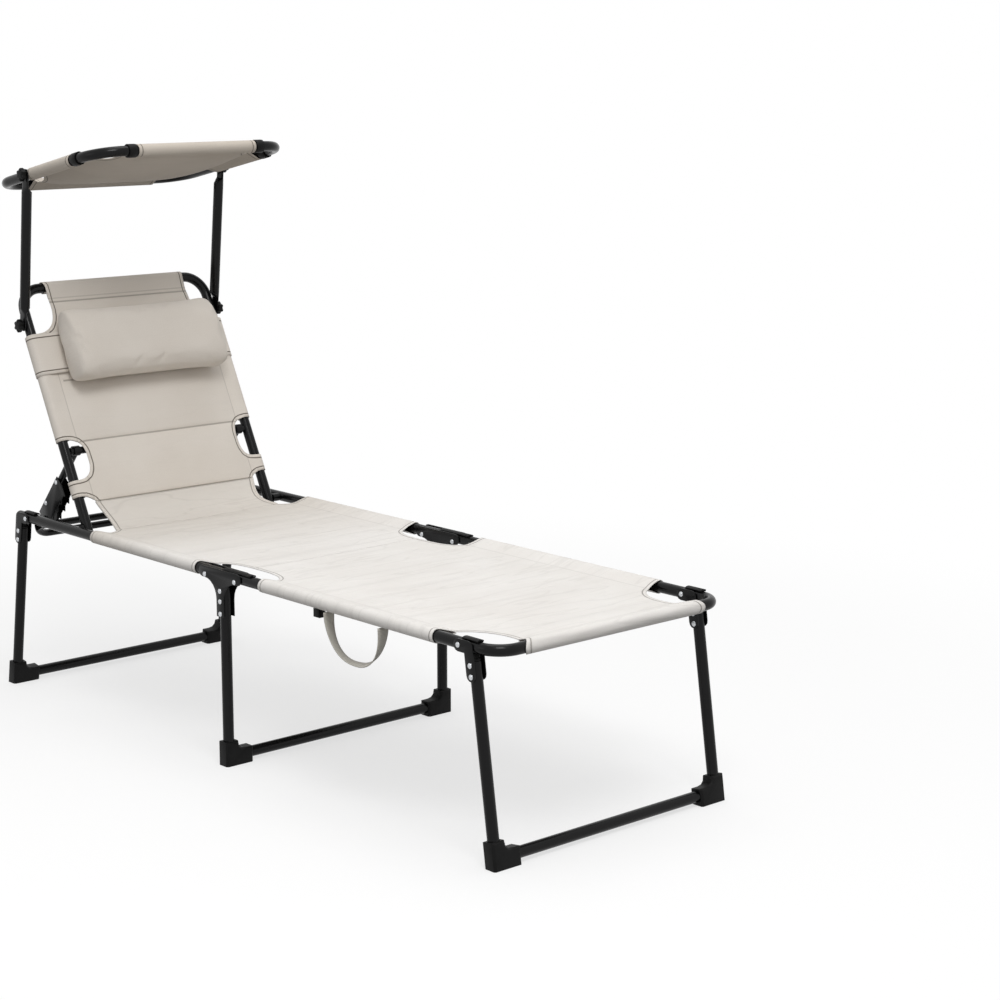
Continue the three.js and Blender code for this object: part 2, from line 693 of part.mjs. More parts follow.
function addKnobs(name, spot) {
  const shape = new THREE.Shape()
  const count = knob.lobes * knob.lobeSteps
  const points = []
  for (let step = 0; step < count; step += 1) {
    const angle = 2 * Math.PI * step / count
    const radius = knob.radius + knob.lobe * Math.cos(knob.lobes * angle)
    points.push(new THREE.Vector2(radius * Math.cos(angle), radius * Math.sin(angle)))
  }
  shape.setFromPoints(points)
  const geometry = new THREE.ExtrudeGeometry(shape, {
    depth: knob.thickness - 2 * knob.bevel,
    bevelThickness: knob.bevel,
    bevelSize: knob.bevel,
    bevelOffset: -knob.bevel,
    bevelSegments: 1
  })
  geometry.rotateY(-90 * degree)
  const armFace = backrest.halfSpan + tube.radius + gap + arm.flatThickness
  geometry.translate(-armFace - knob.lift - knob.bevel, ...spot)
  const studEnd = -backrest.halfSpan - tube.radius + knob.studDepth
  const stud = rodX(hinge.studRadius, -armFace - knob.lift, studEnd, ...spot, rivet.sides)
  addPair(`${name}_knob`, toSolid(geometry).add(stud), mouldedBlack)
}

// Slings: one section with a sleeve at each side, drawn out along Y

function innerSleeve() {
  return around(tube.radius + gap, cloth.sleeveSides)
}

function outerSleeve() {
  return innerSleeve() + cloth.thickness
}

function lowerTangent(flap) {
  const under = outerSleeve() - cloth.thickness
  const distance = Math.hypot(flap, under)
  return Math.atan2(under, flap) - Math.acos(Math.min(1, outerSleeve() / distance))
}

function sleeveArc(centre, fromAngle, toAngle) {
  const count = Math.ceil(Math.abs(toAngle - fromAngle) / (cloth.arcStep * degree))
  const points = []
  for (let step = 0; step <= count; step += 1) {
    const angle = fromAngle + (toAngle - fromAngle) * step / count
    points.push(new THREE.Vector2(centre + outerSleeve() * Math.cos(angle), outerSleeve() * Math.sin(angle)))
  }
  return points
}

function slingShape(halfSpan, flap) {
  const tangent = lowerTangent(flap)
  const under = outerSleeve() - cloth.thickness
  const inner = halfSpan - flap
  const points = []
  for (let step = 0; step <= cloth.across; step += 1) {
    points.push(new THREE.Vector2(-inner + 2 * inner * step / cloth.across, under))
  }
  points.push(...sleeveArc(halfSpan, -Math.PI - tangent, 90 * degree))
  for (let step = 0; step <= cloth.across; step += 1) {
    points.push(new THREE.Vector2(inner - 2 * inner * step / cloth.across, outerSleeve()))
  }
  points.push(...sleeveArc(-halfSpan, 90 * degree, 360 * degree + tangent))
  const shape = new THREE.Shape(points)
  for (const side of [-1, 1]) {
    const hole = circlePoints(innerSleeve(), cloth.sleeveSides)
    hole.forEach((point) => point.setX(point.x + side * halfSpan))
    shape.holes.push(new THREE.Path(hole.reverse()))
  }
  return shape
}

function slingSolid(halfSpan, flap, fromY, toY, steps, bend) {
  const options = { depth: toY - fromY, steps, bevelEnabled: false }
  const geometry = new THREE.ExtrudeGeometry(slingShape(halfSpan, flap), options)
  geometry.rotateX(90 * degree)
  geometry.translate(0, toY, 0)
  const spots = geometry.attributes.position
  const inner = halfSpan - flap
  for (let index = 0; index < spots.count; index += 1) {
    const x = spots.getX(index)
    const z = spots.getZ(index)
    if (Math.abs(x) < inner && z > 0) {
      const isFront = z > outerSleeve() - cloth.thickness * halfShare
      spots.setZ(index, z + bend(x / inner, spots.getY(index), isFront))
    }
  }
  return toSolid(geometry)
}

function crossSleeve(halfLength, flap, inwardSign, atY) {
  const tangent = lowerTangent(flap)
  const points = [
    new THREE.Vector2(flap, outerSleeve()),
    ...sleeveArc(0, 90 * degree, 360 * degree + tangent),
    new THREE.Vector2(flap, outerSleeve() - cloth.thickness)
  ]
  const shape = new THREE.Shape(points)
  shape.holes.push(new THREE.Path(circlePoints(innerSleeve(), cloth.sleeveSides).reverse()))
  const solid = plateX(shape, -halfLength, halfLength)
  return (inwardSign > 0 ? solid : solid.mirror([0, 1, 0])).translate([0, atY, 0])
}

function ovalCuts(x, y, deep, long) {
  const geometry = new THREE.CylinderGeometry(1, 1, reach, cloth.cutSides)
  geometry.rotateX(90 * degree)
  geometry.scale(deep, long, 1)
  geometry.translate(-x, y, 0)
  return bothSides(toSolid(geometry))
}

function eased(share) {
  return THREE.MathUtils.smoothstep(share, 0, 1)
}

function from(solid, y) {
  return solid.trimByPlane([0, 1, 0], y)
}

function upTo(solid, y) {
  return solid.trimByPlane([0, -1, 0], -y)
}

function addSeatFabric() {
  const lift = (solid) => solid.translate([0, 0, rail.height])
  const level = (side) => -seat.sag * (1 - side * side)
  const side = rail.halfSpan
  const middle = ovalCuts(side, midCut.y, midCut.deep, midCut.long)
  const rear = ovalCuts(side, seatRearCut.y, seatRearCut.deep, seatRearCut.long)
  const corner = ovalCuts(side, footCut.y, footCut.deep, footCut.long)
  const upper = slingSolid(side, cloth.flap, midCut.y, seatRearCut.y, seat.steps, level)
  const bridge = slingSolid(side, cloth.flap, midCut.y - midCut.long, midCut.y + midCut.long, 1, level)
  const footStart = footFrame.barY + cloth.flap
  const footLevel = (share, y) => level(share) * eased((y - footStart) / footSling.easeLength)
  const lower = slingSolid(side, cloth.flap, footStart, midCut.y, footSling.steps, footLevel)
  const endSleeve = crossSleeve(side - footCut.deep, cloth.flap, 1, footFrame.barY)
  const cutSeat = from(upper.subtract(middle).subtract(rear), seat.startY)
  addPiece('seat_fabric', lift(upTo(cutSeat, seat.endY)), paleFabric)
  const cutBridge = from(bridge.subtract(middle), footSling.endY + gap)
  addPiece('bridge_fabric', lift(upTo(cutBridge, seat.startY - gap)), paleFabric)
  const cutFoot = upTo(lower.subtract(middle).subtract(corner).add(endSleeve), footSling.endY)
  addPiece('foot_fabric', lift(cutFoot), paleFabric)
}

// Backrest sling with padded segments between its crosswise seams

function padHeight(along) {
  const { top } = backrest
  const seams = [back.start, ...back.seamShares.map((share) => share * top), top - cloth.shortFlap]
  const next = seams.findIndex((seam) => seam >= along)
  if (next < 1) return 0
  const share = (along - seams[next - 1]) / (seams[next] - seams[next - 1])
  return back.crown * Math.sqrt(Math.max(0, Math.sin(Math.PI * share)))
}

function addBackrestFabric() {
  const { halfSpan, top } = backrest
  const pads = (share, along, isFront) => (isFront ? padHeight(along) * (1 - share ** 4) : 0)
  const flap = cloth.shortFlap
  const sling = slingSolid(halfSpan, flap, back.start, top - flap, back.steps, pads)
  const low = ovalCuts(halfSpan + backLowCut.outset, backLowCut.s, backLowCut.deep, backLowCut.long)
  const middle = ovalCuts(halfSpan + backMidCut.outset, backMidCut.s, backMidCut.deep, backMidCut.long)
  const cornerX = halfSpan + backTopCut.outset
  const corner = ovalCuts(cornerX, top - backTopCut.belowTop, backTopCut.deep, backTopCut.long)
  const sleeve = crossSleeve(cornerX - backTopCut.deep, cloth.shortFlap, -1, top)
  const whole = sling.subtract(low).subtract(middle).subtract(corner).add(sleeve)
  addPiece('backrest_fabric', onBackrest(whole), backFabric)
}

function addCanopyFabric() {
  const { halfSpan, depth } = canopy
  const { bareCorner, sag, steps } = canopySleeve
  const crossHalf = halfSpan - bareCorner
  const start = cloth.flap
  const end = depth - cloth.flap
  const level = (share, along) => -sag * (1 - share * share) * Math.sin(Math.PI * (along - start) / (end - start))
  const sling = slingSolid(halfSpan, cloth.flap, start, end, steps, level)
  const rear = ovalCuts(halfSpan + canopyRearCut.outset, canopyRearCut.s, canopyRearCut.deep, canopyRearCut.long)
  const frontCut = canopyFrontCut
  const front = ovalCuts(halfSpan + frontCut.outset, depth + frontCut.beyond, frontCut.deep, frontCut.long)
  const rearSleeve = crossSleeve(crossHalf, cloth.flap, 1, 0)
  const frontSleeve = crossSleeve(crossHalf, cloth.flap, -1, depth)
  const whole = sling.subtract(rear).subtract(front).add(rearSleeve).add(frontSleeve)
  addPiece('canopy_fabric', onCanopy(whole), canopyCloth)
}

// Pillow: a half-round bolster with softly rounded ends

function pillowSection() {
  const half = pillow.height * halfShare
  const points = [new THREE.Vector2(-half + pillowMesh.edge, 0), new THREE.Vector2(half - pillowMesh.edge, 0)]
  for (let step = 0; step <= pillowMesh.arcSteps; step += 1) {
    const angle = Math.PI * step / pillowMesh.arcSteps
    const cos = Math.cos(angle)
    const sin = Math.sin(angle)
    const side = Math.sign(cos) * Math.abs(cos) ** pillowMesh.squareShare * half
    const rise = sin ** pillowMesh.squareShare * (pillow.bulge - pillowMesh.edge)
    points.push(new THREE.Vector2(side, pillowMesh.edge + rise))
  }
  return new THREE.Shape(points)
}

function addPillow() {
  const { endRound, inset, lift, start, height } = pillow
  const { spreadShare, dropShare, tuckShare } = pillowMesh
  const halfLength = backrest.halfSpan - inset
  const geometry = new THREE.ExtrudeGeometry(pillowSection(), {
    depth: 2 * halfLength, steps: pillowMesh.steps, bevelEnabled: false })
  const turn = new THREE.Matrix4().makeBasis(
    new THREE.Vector3(0, 1, 0), new THREE.Vector3(0, 0, 1), new THREE.Vector3(1, 0, 0))
  geometry.applyMatrix4(turn)
  const spots = geometry.attributes.position
  for (let index = 0; index < spots.count; index += 1) {
    const share = spots.getX(index) / halfLength - 1
    const spread = Math.sign(share) * (1 - Math.max(0, 1 - Math.abs(share)) ** spreadShare) * halfLength
    const end = Math.max(0, Math.abs(spread) - halfLength + endRound) / endRound
    const rounding = Math.sqrt(Math.max(0, 1 - (end * dropShare) ** 2))
    const high = spots.getZ(index) * rounding
    spots.setXYZ(index, spread, spots.getY(index) * (1 - tuckShare + tuckShare * rounding), high)
  }
  const placed = toSolid(geometry).translate([0, start + height * halfShare, lift])
  addPiece('pillow', onBackrest(placed), backFabric)
  addBand()
}

function bandOutline(offset) {
  const centre = backrest.halfSpan
  const radius = outerSleeve() + gap + offset
  const front = band.lift + offset
  const flatHalf = centre - band.flatInset
  const points = []
  for (const side of [1, -1]) {
    for (let step = 0; step <= band.arcSteps; step += 1) {
      const angle = side > 0 ? -90 + 180 * step / band.arcSteps : 90 + 180 * step / band.arcSteps
      points.push(new THREE.Vector2(side * centre + radius * Math.cos(angle * degree), radius * Math.sin(angle * degree)))
    }
    if (side > 0) points.push(new THREE.Vector2(flatHalf, front), new THREE.Vector2(-flatHalf, front))
  }
  return points
}

function addBand() {
  const shape = new THREE.Shape(bandOutline(band.thickness))
  shape.holes.push(new THREE.Path(bandOutline(0).reverse()))
  const geometry = new THREE.ExtrudeGeometry(shape, { depth: band.width, bevelEnabled: false })
  geometry.rotateX(90 * degree)
  geometry.translate(0, band.start + band.width, 0)
  addPiece('pillow_band', onBackrest(toSolid(geometry)), backFabric)
}

// Carry strap: flat webbing hanging in a loop under the left foot rail

function ribbonShape(middle, thickness) {
  const upper = []
  const lower = []
  middle.forEach((point, index) => {
    const before = middle[Math.max(0, index - 1)]
    const after = middle[Math.min(middle.length - 1, index + 1)]
    const along = after.clone().sub(before).normalize()
    const across = new THREE.Vector2(-along.y, along.x).multiplyScalar(thickness * halfShare)
    upper.unshift(point.clone().add(across))
    lower.push(point.clone().sub(across))
  })
  return new THREE.Shape([...lower, ...upper])
}

function addStrap() {
  const { startY, endY, drop, steps, thickness, width, tuck } = strap
  const centreY = (startY + endY) * halfShare
  const middle = []
  for (let step = 0; step <= steps; step += 1) {
    const angle = Math.PI * step / steps
    const y = centreY - (endY - startY) * halfShare * Math.cos(angle)
    middle.push(new THREE.Vector2(y, rail.height - tuck - drop * Math.sin(angle)))
  }
  const side = -rail.halfSpan - width * halfShare
  addPiece('carry_strap', plateX(ribbonShape(middle, thickness), side, side + width), webbing)
}

const { headPivot, footPivot } = addMiddleLegs()
const headLegPivot = addEndLegs('head', legBarY.head, leg.leanDegrees)
const footLegPivot = addEndLegs('foot', legBarY.foot, -leg.leanDegrees)
addSeatHalf(headPivot, headLegPivot)
addFootHalf(footPivot, footLegPivot)
addBackrestFrame()
addProp()
addCanopyFrame()
addArms()
addSeatFabric()
addBackrestFabric()
addCanopyFabric()
addPillow()
addStrap()

// Centre the part over the middle of its length, standing on zero
const bounds = new THREE.Box3().setFromObject(group)
const centre = bounds.getCenter(new THREE.Vector3())
group.children.forEach((mesh) => mesh.geometry.translate(-centre.x, -centre.y, -bounds.min.z))

export default group
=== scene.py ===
import json
import math
import bpy
import bmesh
from mathutils import Matrix, Vector


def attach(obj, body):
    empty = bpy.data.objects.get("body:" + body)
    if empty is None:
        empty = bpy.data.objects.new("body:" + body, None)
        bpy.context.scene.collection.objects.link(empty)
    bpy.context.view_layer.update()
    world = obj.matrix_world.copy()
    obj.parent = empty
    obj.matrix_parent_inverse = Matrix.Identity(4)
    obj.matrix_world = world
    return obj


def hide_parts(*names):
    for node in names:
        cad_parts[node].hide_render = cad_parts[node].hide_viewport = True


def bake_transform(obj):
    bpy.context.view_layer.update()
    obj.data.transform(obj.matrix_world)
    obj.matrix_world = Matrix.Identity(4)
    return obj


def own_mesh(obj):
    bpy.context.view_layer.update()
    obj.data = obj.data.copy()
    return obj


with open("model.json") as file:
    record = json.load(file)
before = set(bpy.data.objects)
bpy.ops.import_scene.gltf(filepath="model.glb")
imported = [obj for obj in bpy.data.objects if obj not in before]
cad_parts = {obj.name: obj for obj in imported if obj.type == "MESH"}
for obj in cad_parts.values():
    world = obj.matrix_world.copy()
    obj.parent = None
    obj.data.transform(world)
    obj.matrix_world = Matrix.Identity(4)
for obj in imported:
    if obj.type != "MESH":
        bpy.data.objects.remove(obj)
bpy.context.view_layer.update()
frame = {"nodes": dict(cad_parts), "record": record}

bodyOf = {node: body for body, nodes in frame["record"]["behaviour"]["bodies"].items() for node in nodes}
slotOf = {item["node"]: item["material_slot"] for item in frame["record"]["subparts"]}

# Sizes are in millimetres, measured from the foot end of the frame; the row frame starts at mid length
scene = {"unit": 0.001, "middleY": 755.967}
rail = {"halfSpan": 280, "height": 388.8, "jointY": 711, "slit": 2, "headEnd": 1482}
tube = {"radius": 11, "sides": 32, "bendSteps": 12}
slimTube = {"radius": 8, "sides": 24, "bendSteps": 8}
back = {"halfSpan": 240.5, "hingeY": 1273.4, "slope": 63.24, "top": 549.5, "bend": 49.5, "below": 14,
        "crossAt": 172}
prop = {"halfSpan": 214.5, "slope": 48.85, "length": 287.4, "bend": 40}
canopy = {"halfSpan": 240.5, "depth": 429.2, "bend": 67.2, "tilt": 11.93, "rearY": 1599.8, "rearZ": 1101.8}


def turned(x=0.0, z=0.0):
    return Matrix.Rotation(math.radians(z), 4, "Z") @ Matrix.Rotation(math.radians(x), 4, "X")


level = Matrix.Translation((0, 0, rail["height"]))
onBack = Matrix.Translation((0, back["hingeY"], rail["height"])) @ turned(x=back["slope"])
crossSpot = onBack @ Vector((0, back["crossAt"], 0))
onProp = Matrix.Translation(crossSpot) @ turned(x=-prop["slope"])
onCanopy = (Matrix.Translation((0, canopy["rearY"], canopy["rearZ"]))
            @ turned(x=-canopy["tilt"]) @ turned(z=180))
toRow = Matrix.Scale(scene["unit"], 4) @ Matrix.Translation((0, -scene["middleY"], 0))


def rowPoint(x, y, z):
    return toRow @ Vector((x, y, z))


# Camera at the photograph's angle
def addCamera(x, y, z, yaw, down, roll, lens):
    yaw, down, roll = (math.radians(a) for a in (yaw, down, roll))
    ahead = Vector((math.sin(yaw) * math.cos(down), math.cos(yaw) * math.cos(down), -math.sin(down)))
    side = Vector((math.cos(yaw), -math.sin(yaw), 0))
    up = side.cross(ahead)
    side, up = (math.cos(roll) * side + math.sin(roll) * up, -math.sin(roll) * side + math.cos(roll) * up)
    data = bpy.data.cameras.new("photoCamera")
    data.lens = lens
    data.sensor_width = 36
    data.clip_end = 60
    camera = bpy.data.objects.new("photoCamera", data)
    camera.matrix_world = Matrix((
        (side.x, up.x, -ahead.x, x), (side.y, up.y, -ahead.y, y), (side.z, up.z, -ahead.z, z), (0, 0, 0, 1)))
    bpy.context.scene.collection.objects.link(camera)
    bpy.context.scene.camera = camera


addCamera(-2.8321, -3.6739, 1.4135, 42.103, 11.245, 0.071, 83.0)
print("camera placed")


# Materials
def linear(hexColour):
    parts = [int(hexColour[i:i + 2], 16) / 255 for i in (1, 3, 5)]
    return [c / 12.92 if c <= 0.04045 else ((c + 0.055) / 1.055) ** 2.4 for c in parts] + [1.0]


def addNode(tree, kind, links=None, values=None, **settings):
    node = tree.nodes.new(kind)
    for name, value in settings.items():
        setattr(node, name, value)
    for name, value in (values or {}).items():
        node.inputs[name].default_value = value
    for name, socket in (links or {}).items():
        tree.links.new(socket, node.inputs[name])
    return node


def newMaterial(name):
    material = bpy.data.materials.new(name)
    material.use_nodes = True
    tree = material.node_tree
    tree.nodes.clear()
    return material, tree


def surface(tree, values, links):
    shader = addNode(tree, "ShaderNodeBsdfPrincipled", links=links, values=values)
    addNode(tree, "ShaderNodeOutputMaterial", links={"Surface": shader.outputs[0]})


def tinted(tree, factor, low, high):
    mix = addNode(tree, "ShaderNodeMix", data_type="RGBA")
    mix.inputs[6].default_value = linear(low)
    mix.inputs[7].default_value = linear(high)
    tree.links.new(factor, mix.inputs[0])
    return mix.outputs[2]


def ramp(tree, value, fromMin, fromMax, toMin=0.0, toMax=1.0):
    node = addNode(tree, "ShaderNodeMapRange", links={"Value": value}, interpolation_type="SMOOTHSTEP",
                   values={"From Min": fromMin, "From Max": fromMax, "To Min": toMin, "To Max": toMax})
    return node.outputs[0]


def calc(tree, operation, a, b=0.0):
    node = addNode(tree, "ShaderNodeMath", operation=operation)
    for index, value in enumerate((a, b)):
        if isinstance(value, (int, float)):
            node.inputs[index].default_value = value
        else:
            tree.links.new(value, node.inputs[index])
    return node.outputs[0]


# A satin black skin with fine orange peel, drawn at 1.6 mm where the real one is nearer 0.5 mm so that it
# still shows from a few metres; slightly polished clouds break up the long reflections.
def powderCoat(name, colour, worn, roughness, grain):
    material, tree = newMaterial(name)
    spot = addNode(tree, "ShaderNodeTexCoord").outputs["Object"]
    skin = addNode(tree, "ShaderNodeTexNoise", links={"Vector": spot},
                   values={"Scale": 1000 / grain, "Detail": 3.0, "Roughness": 0.55})
    cloud = addNode(tree, "ShaderNodeTexNoise", links={"Vector": spot}, values={"Scale": 9.0, "Detail": 4.0})
    tone = tinted(tree, ramp(tree, cloud.outputs["Fac"], 0.35, 0.75), colour, worn)
    rough = ramp(tree, cloud.outputs["Fac"], 0.3, 0.7, roughness - 0.05, roughness + 0.06)
    bump = addNode(tree, "ShaderNodeBump", links={"Height": skin.outputs["Fac"]},
                   values={"Strength": 0.25, "Distance": 0.00025})
    surface(tree, {"Metallic": 0.0, "Specular IOR Level": 0.11, "Coat Weight": 0.15, "Coat Roughness": 0.08},
            {"Base Color": tone, "Roughness": rough, "Normal": bump.outputs[0]})
    return material


# Duller than the tubes, with a spark-eroded grain drawn at 0.9 mm, about twice the real one.
def mouldedPlastic(name, colour, light, roughness, grain):
    material, tree = newMaterial(name)
    spot = addNode(tree, "ShaderNodeTexCoord").outputs["Object"]
    texture = addNode(tree, "ShaderNodeTexVoronoi", links={"Vector": spot}, values={"Scale": 1000 / grain})
    cloud = addNode(tree, "ShaderNodeTexNoise", links={"Vector": spot}, values={"Scale": 30.0, "Detail": 3.0})
    tone = tinted(tree, ramp(tree, cloud.outputs["Fac"], 0.3, 0.8), colour, light)
    bump = addNode(tree, "ShaderNodeBump", links={"Height": texture.outputs["Distance"]},
                   values={"Strength": 0.3, "Distance": 0.0002})
    surface(tree, {"Roughness": roughness, "Specular IOR Level": 0.13},
            {"Base Color": tone, "Normal": bump.outputs[0]})
    return material


# Small bright points on the black plates, with a dull bloom of a few mm as on plated rivets.
def zincPlate(name, colour, dull):
    material, tree = newMaterial(name)
    spot = addNode(tree, "ShaderNodeTexCoord").outputs["Object"]
    cloud = addNode(tree, "ShaderNodeTexNoise", links={"Vector": spot},
                    values={"Scale": 400.0, "Detail": 2.0})
    tone = tinted(tree, cloud.outputs["Fac"], dull, colour)
    rough = ramp(tree, cloud.outputs["Fac"], 0.2, 0.8, 0.22, 0.42)
    surface(tree, {"Metallic": 1.0}, {"Base Color": tone, "Roughness": rough})
    return material


# A dry plain weave. Its threads are drawn 3.6 mm wide, about five times the real 0.7 mm, so that the weave
# doesn't turn to noise; slubs and clouds come from the flat cloth, and darker lines from its edges and seams:
# stitching with painted shade in the sewn and quilted grooves, and painted shade along the rucks.
def wovenCloth(name, light, dark, thread, seamShade, crease=0.0, paintedHeadShade=None):
    material, tree = newMaterial(name)
    uv = addNode(tree, "ShaderNodeUVMap", uv_map="cloth").outputs[0]
    spot = addNode(tree, "ShaderNodeTexCoord").outputs["Object"]
    wave = {"Scale": 314.16 / thread, "Distortion": 0.6, "Detail": 1.0, "Detail Scale": 1.5}
    warp = addNode(tree, "ShaderNodeTexWave", links={"Vector": uv}, values=wave, bands_direction="X")
    weft = addNode(tree, "ShaderNodeTexWave", links={"Vector": uv}, values=wave, bands_direction="Y")
    weave = calc(tree, "MULTIPLY", warp.outputs["Fac"], weft.outputs["Fac"])
    slub = addNode(tree, "ShaderNodeTexNoise", links={"Vector": uv}, values={"Scale": 450.0, "Detail": 2.0})
    cloud = addNode(tree, "ShaderNodeTexNoise", links={"Vector": spot}, values={"Scale": 7.0, "Detail": 5.0})
    crosswise = addNode(tree, "ShaderNodeMapping", links={"Vector": uv}, values={"Scale": (3.0, 21.0, 1.0)})
    wrinkle = addNode(tree, "ShaderNodeTexNoise", links={"Vector": crosswise.outputs[0]},
                      values={"Scale": 1.0, "Detail": 2.0, "Roughness": 0.45})
    edge, seam, quilt = [addNode(tree, "ShaderNodeAttribute", attribute_name=layer).outputs["Fac"]
                         for layer in ("edge", "seam", "quilt")]
    # The hem, seam and quilt lines are stitching with painted shade in their grooves; the ruck lines are painted
    # shade in the creases.
    hemLine = ramp(tree, calc(tree, "ABSOLUTE", calc(tree, "SUBTRACT", edge, 8.0)), 0.6, 1.9, 1.0, 0.0)
    seamLine = ramp(tree, calc(tree, "ABSOLUTE", seam), 0.5, 1.8, 0.45, 0.0)
    quiltLine = ramp(tree, quilt, 0.8, 3.0, 1.0, 0.0)
    rucked = calc(tree, "ABSOLUTE", calc(tree, "SUBTRACT", wrinkle.outputs["Fac"], 0.5))
    ruckShade = ramp(tree, rucked, 0.0, 0.02, crease * 0.014, 0.0)
    sewnAndShaded = calc(tree, "MAXIMUM", calc(tree, "MULTIPLY", hemLine, 1.9), seamLine)
    lines = calc(tree, "MAXIMUM", sewnAndShaded, quiltLine)
    lines = calc(tree, "MAXIMUM", lines, ruckShade)
    fold = ramp(tree, edge, 9.5, 11.5, 1.0, 0.0)
    mixed = calc(tree, "ADD", calc(tree, "MULTIPLY", cloud.outputs["Fac"], 0.6),
                 calc(tree, "MULTIPLY", slub.outputs["Fac"], 0.4))
    tone = tinted(tree, ramp(tree, mixed, 0.3, 0.7), dark, light)
    # Painted shade: the cloth turns darker towards the head end, over the lap and the head of the seat, where the
    # canopy and backrest shade it.
    if paintedHeadShade:
        along = addNode(tree, "ShaderNodeSeparateXYZ", links={"Vector": spot}).outputs["Y"]
        headShadeMix = addNode(tree, "ShaderNodeMix", data_type="RGBA")
        tree.links.new(ramp(tree, along, 0.02, 0.46), headShadeMix.inputs[0])
        tree.links.new(tone, headShadeMix.inputs[6])
        headShadeMix.inputs[7].default_value = linear(paintedHeadShade)
        tone = headShadeMix.outputs[2]
    # Painted shade: these lines are darkened towards #5d554b by seamShade.
    shade = addNode(tree, "ShaderNodeMix", data_type="RGBA")
    tree.links.new(calc(tree, "MULTIPLY", lines, seamShade), shade.inputs[0])
    tree.links.new(tone, shade.inputs[6])
    shade.inputs[7].default_value = linear("#5d554b")
    height = calc(tree, "ADD", calc(tree, "MULTIPLY", weave, 0.12), calc(tree, "MULTIPLY", fold, 0.35))
    height = calc(tree, "ADD", height, calc(tree, "MULTIPLY", wrinkle.outputs["Fac"], crease))
    height = calc(tree, "SUBTRACT", height, calc(tree, "MULTIPLY", lines, 0.6))
    bump = addNode(tree, "ShaderNodeBump", links={"Height": height},
                   values={"Strength": 0.6, "Distance": 0.0012})
    dry = {"Roughness": 0.88, "Specular IOR Level": 0.25, "Sheen Weight": 0.12, "Sheen Roughness": 0.5}
    surface(tree, dry, {"Base Color": shade.outputs[2], "Normal": bump.outputs[0]})
    return material


# Crosswise ribs drawn at 2.2 mm, a little coarser than the real 1.5 mm.
def ribbedWebbing(name, light, dark, rib):
    material, tree = newMaterial(name)
    uv = addNode(tree, "ShaderNodeUVMap", uv_map="cloth").outputs[0]
    ribs = addNode(tree, "ShaderNodeTexWave", links={"Vector": uv}, bands_direction="Y",
                   values={"Scale": 314.16 / rib, "Distortion": 0.8})
    tone = tinted(tree, ribs.outputs["Fac"], dark, light)
    bump = addNode(tree, "ShaderNodeBump", links={"Height": ribs.outputs["Fac"]},
                   values={"Strength": 0.6, "Distance": 0.0006})
    surface(tree, {"Roughness": 0.8, "Sheen Weight": 0.15}, {"Base Color": tone, "Normal": bump.outputs[0]})
    return material


finish = {
    "satin_black_steel": powderCoat("satinPowderCoat", "#0b0b0c", "#0f0f10", 0.27, 1.6),
    "moulded_black_plastic": mouldedPlastic("mouldedPolypropylene", "#0e0e0e", "#151515", 0.5, 0.9),
    "rivet": zincPlate("zincPlatedRivet", "#dfe1e3", "#a9acb0"),
    # The pale cloth's darker colour towards the head end is painted shade.
    "pale_sling_fabric": wovenCloth("paleOxfordPolyester", "#ebe8e4", "#e4e0db", 3.6, 0.32, crease=16.0,
                                    paintedHeadShade="#d9d3cb"),
    "padded_beige_fabric": wovenCloth("beigeOxfordPolyester", "#e0d9d0", "#d8d0c6", 3.6, 0.5, crease=2.0),
    "canopy_cloth": wovenCloth("beigeCanopyPolyester", "#c9c0b5", "#beb5a9", 3.6, 0.4, crease=4.0),
    "grey_webbing": ribbedWebbing("ribbedPolyesterWebbing", "#dcd8ce", "#aeaaa0", 2.2),
}
print("materials ready")


# Pieces
def finishPiece(name, bm, slotName, body, replaced=(), placed=None, flat=False, material=None):
    bmesh.ops.transform(bm, matrix=toRow @ (placed or Matrix.Identity(4)), verts=bm.verts)
    mesh = bpy.data.meshes.new(name)
    bm.to_mesh(mesh)
    bm.free()
    for polygon in mesh.polygons:
        polygon.use_smooth = not flat
    mesh.materials.append(material or finish[slotName])
    piece = bpy.data.objects.new(name, mesh)
    bpy.context.scene.collection.objects.link(piece)
    if body:
        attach(piece, body)
    if replaced:
        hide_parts(*replaced)
    return piece


def hardened(piece, angle=40):
    mesh = piece.data
    bm = bmesh.new()
    bm.from_mesh(mesh)
    for edge in bm.edges:
        edge.smooth = len(edge.link_faces) == 2 and edge.calc_face_angle(0) < math.radians(angle)
    bm.to_mesh(mesh)
    bm.free()


def applied(piece):
    graph = bpy.context.evaluated_depsgraph_get()
    mesh = bpy.data.meshes.new_from_object(piece.evaluated_get(graph), preserve_all_data_layers=True,
                                           depsgraph=graph)
    piece.modifiers.clear()
    piece.data = mesh


def bentSpots(corners, bend, steps):
    points = [Vector((*corner, 0)) if len(corner) == 2 else Vector(corner) for corner in corners]
    spots = [(points[0], (points[1] - points[0]).normalized())]
    for before, corner, after in zip(points, points[1:], points[2:]):
        inward = (corner - before).normalized()
        outward = (after - corner).normalized()
        centre = corner - inward * bend + outward * bend
        for step in range(steps + 1):
            angle = math.radians(90 * step / steps)
            spots.append((centre - outward * bend * math.cos(angle) + inward * bend * math.sin(angle),
                          inward * math.cos(angle) + outward * math.sin(angle)))
    spots.append((points[-1], (points[-1] - points[-2]).normalized()))
    return spots


